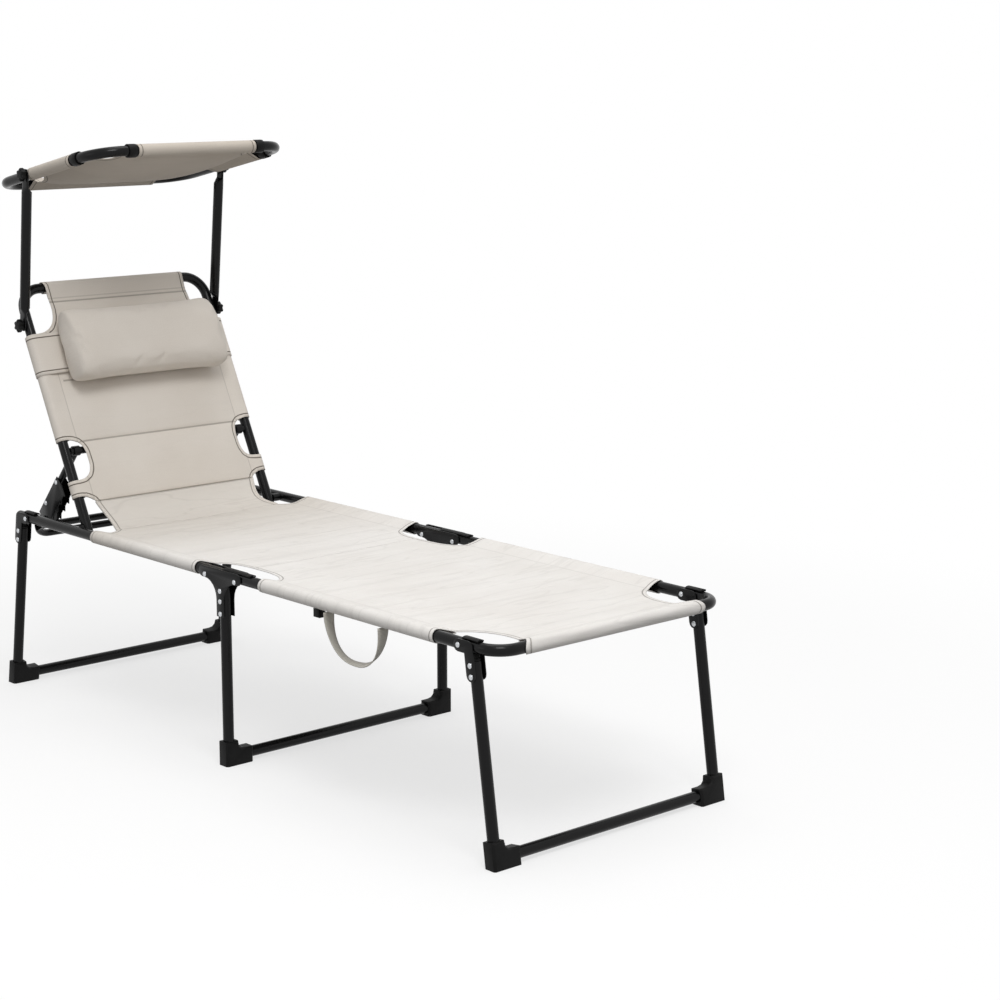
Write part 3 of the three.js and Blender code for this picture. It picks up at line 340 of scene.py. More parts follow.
def sweep(bm, spots, size, closed=True):
    before = None
    for index, (point, along) in enumerate(spots):
        across = Vector((0, 0, 1))
        if abs(along.x) < 0.999:
            side = across if abs(along.z) < 0.9 else Vector((1, 0, 0))
            across = side.cross(along).normalized()
        turn = Matrix((across, along.cross(across), along)).transposed().to_4x4()
        ends = closed and index in (0, len(spots) - 1)
        ring = bmesh.ops.create_circle(bm, cap_ends=ends, segments=size["sides"], radius=size["radius"],
                                       matrix=Matrix.Translation(point) @ turn)["verts"]
        edges = list({edge for vert in ring for edge in vert.link_edges})
        if before:
            bmesh.ops.bridge_loops(bm, edges=before + edges)
        before = edges
    bmesh.ops.recalc_face_normals(bm, faces=bm.faces)


def addTube(name, node, corners, size, bend=0, placed=None):
    bm = bmesh.new()
    sweep(bm, bentSpots(corners, bend, size["bendSteps"]), size)
    piece = finishPiece(name, bm, slotOf[node], bodyOf[node], [node], placed)
    hardened(piece)
    return piece


def dressed(node, name, edge, placed=None):
    bm = bmesh.new()
    bm.from_mesh(frame["nodes"][node].data)
    bmesh.ops.transform(bm, matrix=Matrix.Scale(1000, 4), verts=bm.verts)
    bmesh.ops.remove_doubles(bm, verts=bm.verts, dist=0.02)
    bmesh.ops.dissolve_limit(bm, angle_limit=math.radians(2), verts=bm.verts, edges=bm.edges)
    sharp = [e for e in bm.edges if len(e.link_faces) == 2 and e.calc_face_angle(0) > math.radians(38)]
    bmesh.ops.bevel(bm, geom=sharp, offset=edge, segments=2, profile=0.5, affect="EDGES", material=-1,
                    clamp_overlap=True)
    bmesh.ops.transform(bm, matrix=toRow.inverted() @ Matrix.Scale(0.001, 4), verts=bm.verts)
    piece = finishPiece(name, bm, slotOf[node], bodyOf[node], [node])
    hardened(piece, 45)
    return piece


sides = {"left": -1, "right": 1}


def pieceName(stem, side):
    first, *others = stem.split("_")
    return first + "".join(word.title() for word in others) + side.title()


def legFrame(barY, lean):
    up = Vector((0, -math.sin(math.radians(lean)), math.cos(math.radians(lean))))
    reach = (rail["height"] - leg["barHeight"]) / up.z
    return Vector((0, barY, leg["barHeight"])), up, reach


# Legs and their cross bars
leg = {"barHeight": 17, "lean": 8.57, "topBelowRail": 26, "endBelowBar": 10.5}
legBar = {"foot": -82.3, "middle": 710, "head": 1523.3}
legLean = {"foot": -leg["lean"], "middle": 0, "head": leg["lean"]}


def addLegs():
    for name, barY in legBar.items():
        start, up, reach = legFrame(barY, legLean[name])
        for side, sign in sides.items():
            foot = start + Vector((sign * rail["halfSpan"], 0, 0)) - up * leg["endBelowBar"]
            head = start + Vector((sign * rail["halfSpan"], 0, 0)) + up * (reach - leg["topBelowRail"])
            addTube(pieceName(f"{name}_leg", side), f"{name}_leg_{side}", [foot, head], tube)
            dressed(f"{name}_elbow_{side}", pieceName(f"{name}_elbow", side), 1.2)
            if name != "middle":
                dressed(f"{name}_leg_plug_{side}", pieceName(f"{name}_leg_plug", side), 0.4)
        reachX = rail["halfSpan"] - tube["radius"]
        ends = [start - Vector((reachX, 0, 0)), start + Vector((reachX, 0, 0))]
        addTube(f"{name}CrossBar", f"{name}_cross_bar", ends, tube)
    print("legs done")


addLegs()


# Rails, foot frame, backrest frame, prop and canopy loop
footFrame = {"barY": -88, "bend": 45}


def addFrames():
    for side, sign in sides.items():
        x = sign * rail["halfSpan"]
        bm = bmesh.new()
        sweep(bm, bentSpots([(x, rail["jointY"] + rail["slit"], 0), (x, rail["headEnd"], 0)], 0, 0), tube)
        for radius, inner in ((9, back["halfSpan"] + tube["radius"] + 0.3), (4, back["halfSpan"] + 5)):
            runs = [(sign * (rail["halfSpan"] - 10), back["hingeY"], 0), (sign * inner, back["hingeY"], 0)]
            sweep(bm, bentSpots(runs, 0, 0), {"radius": radius, "sides": 24})
        node = f"seat_rail_{side}"
        hardened(finishPiece(f"seatRail{side.title()}", bm, slotOf[node], bodyOf[node], [node], level))
    x, end = rail["halfSpan"], rail["jointY"] - rail["slit"]
    corners = [(-x, end), (-x, footFrame["barY"]), (x, footFrame["barY"]), (x, end)]
    addTube("footFrame", "foot_frame", corners, tube, footFrame["bend"], level)
    x = back["halfSpan"]
    corners = [(-x, -back["below"]), (-x, back["top"]), (x, back["top"]), (x, -back["below"])]
    addTube("backrestFrame", "backrest_frame", corners, tube, back["bend"], onBack)
    x -= tube["radius"]
    ends = [(-x, back["crossAt"]), (x, back["crossAt"])]
    addTube("backrestCrossTube", "backrest_cross_tube", ends, slimTube, 0, onBack)
    x, d = canopy["halfSpan"], canopy["depth"]
    corners = [(-1, 0), (-x, 0), (-x, d), (x, d), (x, 0), (1, 0)]
    addTube("canopyLoop", "canopy_frame", corners, tube, canopy["bend"], onCanopy)
    print("frames done")


addFrames()


# Prop with eyes on the cross tube, and the catch bar on its links
propEye = {"radius": 11, "sides": 28, "halfWidth": 7.5, "below": 10}

# Fittings that come in pairs, each with the rounding of its edges
fittings = {
    "saw_plates": 0.35, "t_bracket": 0.35, "head_bracket": 0.35, "foot_bracket": 0.35, "head_rail_pad": 0.8,
    "foot_rail_pad": 0.8, "leg_clip": 0.8, "side_collar": 1.2, "front_collar": 1.2, "lower_knob": 0.8,
    "upper_knob": 0.8, "canopy_arm": 0.5,
}


def addPropAndCatchBar():
    x, end = prop["halfSpan"], prop["length"]
    corners = [(-x, propEye["below"]), (-x, end), (x, end), (x, propEye["below"])]
    bm = bmesh.new()
    sweep(bm, bentSpots(corners, prop["bend"], slimTube["bendSteps"]), slimTube)
    across = Vector((1, 0, 0))
    for sign in (-1, 1):
        ends = [Vector((sign * x + reach, 0, 0)) for reach in (-propEye["halfWidth"], propEye["halfWidth"])]
        sweep(bm, [(spot, across) for spot in ends], propEye)
    hardened(finishPiece("propFrame", bm, slotOf["prop_frame"], "prop", ["prop_frame"], onProp))
    dressed("catch_bar", "catchBar", 0.5)
    for side in sides:
        for stem, edge in fittings.items():
            dressed(f"{stem}_{side}", pieceName(stem, side), edge)
    print("prop, plates and fittings done")


addPropAndCatchBar()


# Rivet heads: bright domes on both faces of each pair of plates
rivet = {"radius": 5.3, "rise": 2.6}
plateFaces = {"rail": (293.3, 266.7), "prop": (224.8, 204.2)}
middleRivet = {"across": 50.5, "back": 48.5, "drop": 5.8, "legDrops": (32, 53, 78)}
endRivet = {"across": 26.8, "legDrops": (32, 52)}
sawRivetSpots = (104, 174)


def addRivets(name, body, spots, faces):
    bm = bmesh.new()
    for y, z in spots:
        for sign in (-1, 1):
            for face in faces:
                made = bmesh.ops.create_uvsphere(bm, u_segments=16, v_segments=8, radius=1)["verts"]
                place = Matrix.Translation((sign * face, y, z)) @ Matrix.Diagonal(
                    (rivet["rise"], rivet["radius"], rivet["radius"], 1))
                bmesh.ops.transform(bm, matrix=place, verts=made)
    finishPiece(name, bm, "satin_black_steel", body, material=finish["rivet"])


def addAllRivets():
    h = rail["height"]
    y = legBar["middle"]
    spots = [(y + middleRivet["across"], h - middleRivet["drop"]), (y - middleRivet["back"], h - middleRivet["drop"])]
    spots += [(y, h - drop) for drop in middleRivet["legDrops"]]
    addRivets("middleRivets", "middle_stand", spots, plateFaces["rail"])
    for name, body in (("head", "head_legs"), ("foot", "foot_legs")):
        start, up, reach = legFrame(legBar[name], legLean[name])
        knee = start + up * reach
        spots = [(knee.y - math.copysign(endRivet["across"], legLean[name]), h)]
        spots += [tuple((start + up * (reach - drop)).yz) for drop in endRivet["legDrops"]]
        addRivets(f"{name}Rivets", body, spots, plateFaces["rail"])
    spots = [tuple((onProp @ Vector((0, along, 0))).yz) for along in sawRivetSpots]
    addRivets("sawRivets", "prop", spots, plateFaces["prop"])
    print("rivets done")


addAllRivets()


# Slings: one cloth with a sleeve at each side, sewn back on itself
cloth = {"thickness": 1.3, "radius": 13.2, "cell": 8.5, "wrapCells": 16, "ply": 1.6, "piping": 2.8, "oval": 3.0,
         "tuckTurn": 250, "tuckIn": 1.2, "tuckUp": 0.8}


# A tucked sleeve goes up round the inside of its tube and then flat under the panel, clear of the folded prop
def sleeveOf(flap, dip, tucked=False):
    r = cloth["radius"]
    top, bottom = r - dip, r - dip - cloth["ply"]
    leave = math.atan2(top, flap) + math.acos(r / math.hypot(flap, top))
    turn = 1.5 * math.pi + math.atan2(bottom, flap) - math.acos(r / math.hypot(flap, bottom))
    if tucked:
        turn = math.radians(cloth["tuckTurn"])
    off = Vector((r * math.cos(math.pi / 2 + turn), r * math.sin(math.pi / 2 + turn)))
    seam = Vector((flap, bottom))
    knee = Vector((r - cloth["tuckIn"], bottom + cloth["tuckUp"])) if tucked else off.lerp(seam, 0.5)
    bend = r * turn + (knee - off).length
    return {"flap": flap, "dip": dip, "leave": leave, "turn": turn, "off": off, "knee": knee, "seam": seam,
            "bend": bend, "length": bend + (seam - knee).length}


# Past the top of the tube: how far out the cloth is, and how far below the tube's top
def wrapSpot(distance, sleeve):
    r = cloth["radius"]
    if distance <= r * sleeve["turn"]:
        angle = math.pi / 2 + distance / r
        return -r * math.cos(angle), r * math.sin(angle) - r
    start, end, along = sleeve["knee"], sleeve["seam"], distance - sleeve["bend"]
    if along < 0:
        start, end, along = sleeve["off"], sleeve["knee"], distance - r * sleeve["turn"]
    spot = start.lerp(end, along / (end - start).length)
    return -spot.x, spot.y - r


# Inside the tube: how far the cloth has come down towards the level of the panel
def fallen(inside, sleeve):
    r, leave = cloth["radius"], sleeve["leave"]
    x, z = r * math.cos(leave), r * math.sin(leave) - r
    if inside <= x:
        return math.sqrt(max(0.0, r ** 2 - inside ** 2)) - r
    share = min(1.0, (inside - x) / (sleeve["flap"] - x))
    return z + (-sleeve["dip"] - z) * share


# Distances that the cloth materials read: to the cut edge, to the sleeve's seam and to the nearest quilting
seamLayers = ("edge", "seam", "quilt")
farOff = 99.0


def clothLayers(bm):
    return [bm.verts.layers.float.new(name) for name in seamLayers] + [bm.loops.layers.uv.new("cloth")]


def stations(breaks, cell):
    rows = [breaks[0]]
    for low, high in zip(breaks, breaks[1:]):
        count = max(1, round((high - low) / cell))
        rows += [low + (high - low) * step / count for step in range(1, count + 1)]
    return rows


def ovalSize(x, y, cut):
    power = cut[4] if len(cut) > 4 else cloth["oval"]
    return (abs((abs(x) - cut[0]) / cut[2]) ** power + abs((y - cut[1]) / cut[3]) ** power) ** (1 / power)


def ovalReach(share, cut):
    power = cut[4] if len(cut) > 4 else cloth["oval"]
    return max(0.0, 1 - abs(share) ** power) ** (1 / power)


# Piping sewn over the cut edges: a thin cord along each run of open edges
def pipedEdges(bm, edgeLayer):
    rim = {edge for edge in bm.edges if edge.is_boundary and all(v[edgeLayer] < 0.4 for v in edge.verts)}
    runs = []
    while rim:
        ends = [v for edge in rim for v in edge.verts if sum(e in rim for e in v.link_edges) == 1]
        vert = min(ends, key=lambda v: v.index) if ends else next(iter(rim)).verts[0]
        run = [vert]
        while True:
            step = next((edge for edge in vert.link_edges if edge in rim), None)
            if not step:
                break
            rim.discard(step)
            vert = step.other_vert(vert)
            run.append(vert)
        runs.append([v.co.copy() for v in run])
    piping = bmesh.new()
    size = {"radius": cloth["piping"], "sides": 8}
    for run in runs:
        if len(run) < 4:
            continue
        for _ in range(2):
            run = [run[0]] + [a.lerp(b, k) for a, b in zip(run, run[1:]) for k in (0.25, 0.75)] + [run[-1]]
        spots = [(point, (run[min(i + 1, len(run) - 1)] - run[max(i - 1, 0)]).normalized())
                 for i, point in enumerate(run)]
        ring = None
        for index, (point, along) in enumerate(spots):
            side = side - along * side.dot(along) if index else along.orthogonal()
            side.normalize()
            turn = Matrix((side, along.cross(side), along)).transposed().to_4x4()
            made = bmesh.ops.create_circle(
                piping, cap_ends=index in (0, len(spots) - 1), segments=size["sides"], radius=size["radius"],
                matrix=Matrix.Translation(point) @ turn)["verts"]
            edges = list({edge for vert in made for edge in vert.link_edges})
            if ring:
                bmesh.ops.bridge_loops(piping, edges=ring + edges)
            ring = edges
    bmesh.ops.recalc_face_normals(piping, faces=piping.faces)
    return piping


def joinedWith(piece, extra, placed):
    mesh = bpy.data.meshes.new("piping")
    edgeLayer, seamLayer, quiltLayer, uvLayer = clothLayers(extra)
    for vert in extra.verts:
        vert[edgeLayer] = vert[seamLayer] = vert[quiltLayer] = farOff
    for face in extra.faces:
        face.smooth = True
        for loop in face.loops:
            loop[uvLayer].uv = (loop.vert.co.x * 0.001, loop.vert.co.y * 0.001)
    bmesh.ops.transform(extra, matrix=toRow @ (placed or Matrix.Identity(4)), verts=extra.verts)
    extra.to_mesh(mesh)
    extra.free()
    bm = bmesh.new()
    bm.from_mesh(piece.data)
    bm.from_mesh(mesh)
    bm.to_mesh(piece.data)
    bm.free()
    bpy.data.meshes.remove(mesh)


def addSling(name, nodes, slotName, placed, spec, body=None):
    halfSpan, flap = spec["halfSpan"], spec["flap"]
    sleeve = sleeveOf(flap, spec["dip"], spec.get("tucked"))
    wrap = sleeve["length"]
    wrapCell = wrap / cloth["wrapCells"]
    inner = halfSpan - flap
    bend = sleeve["bend"]
    us = stations([-halfSpan - wrap, -halfSpan - bend, -halfSpan], wrapCell)
    us += stations([-halfSpan, -inner, 0, inner, halfSpan], cloth["cell"])[1:]
    us += stations([halfSpan, halfSpan + bend, halfSpan + wrap], wrapCell)[1:]
    vs = stations(spec["breaks"], cloth["cell"])
    low, high = vs[0], vs[-1]
    if spec.get("startWrap"):
        vs = stations([low - wrap, low - bend, low], wrapCell)[:-1] + vs
    if spec.get("endWrap"):
        vs += stations([high, high + bend, high + wrap], wrapCell)[1:]
    bm = bmesh.new()
    edgeLayer, seamLayer, quiltLayer, uvLayer = clothLayers(bm)
    bmesh.ops.create_grid(bm, x_segments=len(us) - 1, y_segments=len(vs) - 1, size=1)
    flatSpot = {}
    for vert in bm.verts:
        column = round((vert.co.x + 1) / 2 * (len(us) - 1))
        row = round((vert.co.y + 1) / 2 * (len(vs) - 1))
        flatSpot[vert] = [us[column], vs[row]]

    def folded(u, v):
        x, y, dz = u, v, 0.0
        if abs(u) > halfSpan:
            out, dz = wrapSpot(abs(u) - halfSpan, sleeve)
            x = math.copysign(halfSpan + out, u)
        if v > high and spec.get("endWrap"):
            out, fall = wrapSpot(v - high, sleeve)
            y, dz = high + out, min(dz, fall)
        if v < low and spec.get("startWrap"):
            out, fall = wrapSpot(low - v, sleeve)
            y, dz = low - out, min(dz, fall)
        return x, y, dz

    doomed = []
    for face in bm.faces:
        spots = [folded(*flatSpot[v]) for v in face.verts]
        x, y = sum(s[0] for s in spots) / 4, sum(s[1] for s in spots) / 4
        if any(ovalSize(x, y, cut) < 1 for cut in spec["cuts"]):
            doomed.append(face)
    bmesh.ops.delete(bm, geom=doomed, context="FACES")
    onEdge = set()
    for vert in bm.verts:
        if not vert.is_boundary:
            continue
        u, v = flatSpot[vert]
        for cut in spec["cuts"]:
            cx, cy, rx, ry = cut[:4]
            x, y, _ = folded(u, v)
            size = ovalSize(x, y, cut)
            if math.hypot(abs(x) - cx, y - cy) * abs(1 - 1 / max(size, 0.3)) > 1.5 * cloth["cell"]:
                continue
            if abs(u) > halfSpan:
                v = cy + math.copysign(ry * ovalReach((abs(x) - cx) / rx, cut), v - cy)
            elif v < low + 0.01 or v > high - 0.01:
                u = math.copysign(cx - rx * ovalReach((y - cy) / ry, cut), u)
            else:
                u = math.copysign(cx + (abs(x) - cx) / size, u)
                v = cy + (y - cy) / size
            onEdge.add(vert)
        flatSpot[vert] = [u, v]
    for vert in bm.verts:
        u, v = flatSpot[vert]
        x, y, dz = folded(u, v)
        lift = 0.0
        if abs(u) <= halfSpan and low - 0.01 <= v <= high + 0.01:
            level = fallen(halfSpan - abs(u), sleeve) / -sleeve["dip"]
            if spec.get("startWrap"):
                level *= fallen(max(0.0, v - low), sleeve) / -sleeve["dip"]
            if spec.get("endWrap"):
                level *= fallen(max(0.0, high - v), sleeve) / -sleeve["dip"]
            lift = spec["height"](min(1.0, abs(x) / inner), y) - sleeve["dip"] * level
        vert.co = Vector((x, y, cloth["radius"] + dz + lift))
        gaps = [60.0]
        for cut in spec["cuts"]:
            size = ovalSize(x, y, cut)
            gaps.append(math.hypot(abs(x) - cut[0], y - cut[1]) * (1 - 1 / max(size, 0.2)))
        vert[edgeLayer] = 0.0 if vert in onEdge else max(0.5, min(gaps))
        seams = [abs(u) - inner]
        if spec.get("startWrap"):
            seams.append(low + flap - v)
        if spec.get("endWrap"):
            seams.append(v - high + flap)
        vert[seamLayer] = min(seams, key=abs)
        vert[quiltLayer] = min([abs(v - q) for q in spec.get("quilts", ()) if abs(u) < inner] or [farOff])
    for face in bm.faces:
        for loop in face.loops:
            u, v = flatSpot[loop.vert]
            loop[uvLayer].uv = (u * 0.001, v * 0.001)
    bmesh.ops.recalc_face_normals(bm, faces=bm.faces)
    if sum(face.normal.z for face in bm.faces if abs(face.calc_center_median().x) < inner) < 0:
        bmesh.ops.reverse_faces(bm, faces=bm.faces)
    area = sum(face.calc_area() for face in bm.faces) * 1e-6
    bm.verts.index_update()
    piping = pipedEdges(bm, edgeLayer)
    piece = finishPiece(name, bm, slotName, body, nodes, placed)
    thicken(piece)
    joinedWith(piece, piping, placed)
    width, length = 2 * (halfSpan + wrap), vs[-1] - vs[0]
    print(name, "done, area", round(area, 4), "of", round(width * length * 1e-6, 4))
    return piece, (width * 0.001, length * 0.001), area


def thicken(piece):
    smooth = piece.modifiers.new("smooth", "SUBSURF")
    smooth.levels = smooth.render_levels = 1
    wall = piece.modifiers.new("wall", "SOLIDIFY")
    wall.thickness = cloth["thickness"] * 0.001
    wall.offset = 0
    applied(piece)


def eased(share):
    share = max(0.0, min(1.0, share))
    return share * share * (3 - 2 * share)


# Seat sling over the whole lying length
seat = {"sag": 3.0, "dip": 11.0, "flap": 38}
seatCuts = {"middle": (280, 690, 69, 106), "rear": (280, 1270, 83, 92), "foot": (282, -25, 87, 95, 2.2)}


def seatHeight(share, along):
    return -seat["sag"] * (1 - share * share) * eased((along - footFrame["barY"] - seat["flap"] - 4) / 90)


def addSeat():
    start, middle, end = footFrame["barY"], rail["jointY"], lap["seatY"]
    spec = {"halfSpan": rail["halfSpan"], "flap": seat["flap"], "dip": seat["dip"], "height": seatHeight}
    footSpec = {**spec, "breaks": [start, start + seat["flap"], middle], "startWrap": True,
                "cuts": [seatCuts["middle"], seatCuts["foot"]]}
    foot, flat, area = addSling("footSling", ["foot_fabric"], "pale_sling_fabric", level, footSpec)
    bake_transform(foot)
    headSpec = {**spec, "breaks": [middle, end], "cuts": [seatCuts["middle"], seatCuts["rear"]]}
    nodes = ["seat_fabric", "bridge_fabric"]
    head, flat, area = addSling("seatSling", nodes, "pale_sling_fabric", level, headSpec)
    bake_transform(head)


# Lap: the cloth that curves from the seat up into the backrest
lap = {"seatY": 1200, "backS": 51, "narrow": 197, "rows": 18, "columns": 48, "bow": 1.0, "edgeBow": 0.7,
       "tight": 1.4}


def addLap():
    r = cloth["radius"]
    seatLevel = rail["height"] + r - seat["dip"]
    startPoint = Vector((0, lap["seatY"], seatLevel))
    endPoint = onBack @ Vector((0, lap["backS"], r - backPad["dip"]))
    upward = (onBack.to_3x3() @ Vector((0, 1, 0))).normalized()
    corner = endPoint - upward * ((endPoint.z - seatLevel) / upward.z)
    chord = startPoint.lerp(endPoint, 0.5)
    bm = bmesh.new()
    edgeLayer, seamLayer, quiltLayer, uvLayer = clothLayers(bm)
    bmesh.ops.create_grid(bm, x_segments=lap["columns"], y_segments=lap["rows"], size=1)
    rear, low = seatCuts["rear"], backCuts["low"]
    seatEdge = rear[0] - rear[2] * ovalReach((lap["seatY"] - rear[1]) / rear[3], rear)
    backEdge = low[0] - low[2] * ovalReach((lap["backS"] - low[1]) / low[3], low)

    def spotAt(t, pull):
        first, middle, last = (1 - t) ** 2, 2 * t * (1 - t) * lap["tight"], t ** 2
        return (startPoint * first + pull * middle + endPoint * last) / (first + middle + last)

    crest = [spotAt(row / lap["rows"], chord.lerp(corner, lap["bow"])) for row in range(lap["rows"] + 1)]
    length = sum((high - low).length for low, high in zip(crest, crest[1:]))
    for vert in bm.verts:
        across, t = vert.co.x, (vert.co.y + 1) / 2
        half = lap["narrow"] + (seatEdge * (1 - t) + backEdge * t - lap["narrow"]) * abs(2 * t - 1) ** 2
        x = across * half
        bow = lap["edgeBow"] + (lap["bow"] - lap["edgeBow"]) * (1 - across ** 2)
        pull = chord.lerp(corner, bow)
        point = spotAt(t, pull)
        along = (spotAt(min(1, t + 0.01), pull) - spotAt(max(0, t - 0.01), pull)).normalized()
        normal = Vector((0, -along.z, along.y))
        sag = seatHeight(abs(x) / (rail["halfSpan"] - seat["flap"]), lap["seatY"]) * (1 - eased(t * 1.3))
        vert[edgeLayer] = 0.0 if abs(across) > 0.999 else half - abs(x)
        vert[seamLayer] = farOff
        vert[quiltLayer] = length * (1 - t)
        vert.co = Vector((x, point.y, point.z)) + normal * sag
        for loop in vert.link_loops:
            loop[uvLayer].uv = (x * 0.001, (lap["seatY"] + length * t) * 0.001)
    bmesh.ops.recalc_face_normals(bm, faces=bm.faces)
    if sum(face.normal.z for face in bm.faces) < 0:
        bmesh.ops.reverse_faces(bm, faces=bm.faces)
    area = sum(face.calc_area() for face in bm.faces) * 1e-6
    bm.verts.index_update()
    piping = pipedEdges(bm, edgeLayer)
    piece = finishPiece("lapCloth", bm, "pale_sling_fabric", None)
    thicken(piece)
    joinedWith(piece, piping, None)
    low = rowPoint(0, lap["seatY"] + 14, seatLevel + 4)
    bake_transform(piece)
    print("lap done", round(area, 4))


# Backrest: padded segments between crosswise seams
backPad = {"crown": 9.0, "dip": 2.4, "flap": 30, "seams": [51, 188, 329, 511]}
backCuts = {"low": (250, 0, 53, 66), "middle": (245, 149, 47.5, 46), "top": (247, 520, 67, 79)}


def backHeight(share, along):
    seams = backPad["seams"] + [back["top"] + 10]
    for low, high in zip(seams, seams[1:]):
        if low <= along <= high:
            crown = 0.0 if low > 500 else backPad["crown"]
            wave = max(0.0, math.sin(math.pi * (along - low) / (high - low)))
            return crown * wave ** 0.45 * (1 - abs(share) ** 5)
    return 0.0


def addBack():
    rows = [backPad["seams"][0]]
    for seam in backPad["seams"][1:]:
        rows += [seam - 9, seam - 4, seam, seam + 4, seam + 9]
    rows = [rows[0], rows[0] + 4, rows[0] + 9] + rows[1:] + [back["top"]]
    spec = {"halfSpan": back["halfSpan"], "flap": backPad["flap"], "dip": backPad["dip"], "breaks": rows,
            "endWrap": True, "tucked": True, "cuts": list(backCuts.values()), "height": backHeight,
            "quilts": backPad["seams"]}
    piece = addSling("backrestPanel", ["backrest_fabric"], "padded_beige_fabric", onBack, spec, "backrest")[0]


# Canopy cloth with a sleeve on each of its four sides
canopyCuts = {"rear": (252, 8, 88, 150, 2.2), "front": (254, 440, 105, 112, 2.2)}
canopyCloth = {"sag": 30, "dip": 9, "flap": 38}


def canopyHeight(share, along):
    flap = canopyCloth["flap"] + 3
    lengthwise = max(0.0, math.sin(math.pi * (along - flap) / (canopy["depth"] - 2 * flap))) ** 0.45
    if not flap < along < canopy["depth"] - flap:
        return 0.0
    return -canopyCloth["sag"] * (1 - share ** 5) * lengthwise


def addCanopyCloth():
    spec = {"halfSpan": canopy["halfSpan"], "flap": canopyCloth["flap"], "dip": canopyCloth["dip"],
            "breaks": [0, canopyCloth["flap"], canopy["depth"] - canopyCloth["flap"], canopy["depth"]],
            "startWrap": True, "endWrap": True, "cuts": list(canopyCuts.values()), "height": canopyHeight}
    piece, flat, area = addSling("canopyCloth", ["canopy_fabric"], "canopy_cloth", onCanopy, spec, "canopy")


addSeat()
addLap()
addBack()
addCanopyCloth()


# Bolster pillow: a flat-backed section, filled by a short cloth simulation
pillow = {"start": 311, "height": 166, "halfLength": 193, "bulge": 72, "lift": 20.4, "round": 26,
          "lower": 4.2, "upper": 2.2, "voxel": 5, "pressure": 4.0, "cap": 6, "frames": 20, "cuts": 27}


def inflated(piece, spec):
    filling = bpy.data.objects.new("filling", piece.data.copy())
    bpy.context.scene.collection.objects.link(filling)
    remesh = filling.modifiers.new("remesh", "REMESH")
    remesh.mode = "VOXEL"
    remesh.voxel_size = spec["voxel"] * 0.001
    applied(filling)
    before = [vert.co.copy() for vert in filling.data.vertices]
    fill = filling.modifiers.new("fill", "CLOTH")
    fill.settings.quality = 6
    fill.settings.use_pressure = True
    fill.settings.uniform_pressure_force = spec["pressure"]
    fill.settings.effector_weights.gravity = 0
    fill.point_cache.frame_start = 1
    fill.point_cache.frame_end = spec["frames"]
    for frameNumber in range(1, spec["frames"] + 1):
        bpy.context.scene.frame_set(frameNumber)
    applied(filling)
    bpy.context.scene.frame_set(1)
    cap = spec["cap"] * 0.001
    for vert, start in zip(filling.data.vertices, before):
        move = vert.co - start
        vert.co = start + move * min(1.0, cap / max(move.length, 1e-9))
    material = piece.data.materials[0]
    piece.data = filling.data
    piece.data.materials.clear()
    piece.data.materials.append(material)
    bpy.data.objects.remove(filling)
    for polygon in piece.data.polygons:
        polygon.use_smooth = True


# Cloth directions laid flat on the piece's own plane, and no seams
def laidFlat(piece, placed):
    mesh = piece.data
    back = (toRow @ placed).inverted()
    for name in seamLayers:
        layer = mesh.attributes.get(name) or mesh.attributes.new(name, "FLOAT", "POINT")
        for item in layer.data:
            item.value = farOff
    layer = mesh.uv_layers.get("cloth") or mesh.uv_layers.new(name="cloth")
    for loop, item in zip(mesh.loops, layer.data):
        spot = back @ mesh.vertices[loop.vertex_index].co
        item.uv = (spot.x * 0.001, spot.y * 0.001)


def addPillow():
    bm = bmesh.new()
    bmesh.ops.create_cube(bm, size=2)
    bmesh.ops.subdivide_edges(bm, edges=bm.edges, cuts=pillow["cuts"], use_grid_fill=True)
    half, reachX = pillow["height"] / 2, pillow["halfLength"]
    for vert in bm.verts:
        x, y, z = vert.co
        ring = max(abs(y), abs(z))
        angle = math.atan2(z, y)
        cos, sin = math.cos(angle), math.sin(angle)
        power = pillow["lower"] if y < 0 else pillow["upper"]
        reach = (abs(cos) ** power + abs(sin) ** power) ** (-1 / power)
        dy, dz = ring * cos * reach, ring * sin * reach
        end = max(0.0, abs(x) * reachX - reachX + pillow["round"]) / pillow["round"]
        tuck = math.sqrt(max(0.0, 1 - (end * 0.75) ** 2))
        high = pillow["bulge"] * (0.5 + 0.5 * dz) * (0.78 + 0.22 * tuck)
        crown = 1 + 0.08 * max(0.0, dz) * math.cos(dy * math.pi / 2)
        vert.co = Vector((x * reachX * (1 + 0.02 * (1 - ring)), dy * half * (0.86 + 0.14 * tuck), high * crown))
    bmesh.ops.recalc_face_normals(bm, faces=bm.faces)
    spot = onBack @ Matrix.Translation((0, pillow["start"] + half, pillow["lift"]))
    piece = finishPiece("bolsterPillow", bm, "padded_beige_fabric", bodyOf["pillow"], ["pillow"], spot)
    inflated(piece, pillow)
    floor = onBack.inverted() @ toRow.inverted()
    lowest = pillow["lift"]
    home = toRow @ onBack
    for vert in piece.data.vertices:
        flat = floor @ vert.co
        if flat.z < lowest:
            flat.z = lowest
            vert.co = home @ flat
    smooth = piece.modifiers.new("smooth", "SUBSURF")
    smooth.levels = smooth.render_levels = 1
    applied(piece)
    laidFlat(piece, onBack)
    print("pillow done", len(piece.data.polygons))


addPillow()


# Band of cloth that holds the pillow; its ends hook round the side tubes, clear of the folded prop
band = {"start": 346, "width": 93, "front": 18.4, "radius": 14.4, "hook": 205, "arcSteps": 16,
        "flatHalf": 196, "flatSteps": 24, "rows": 12}


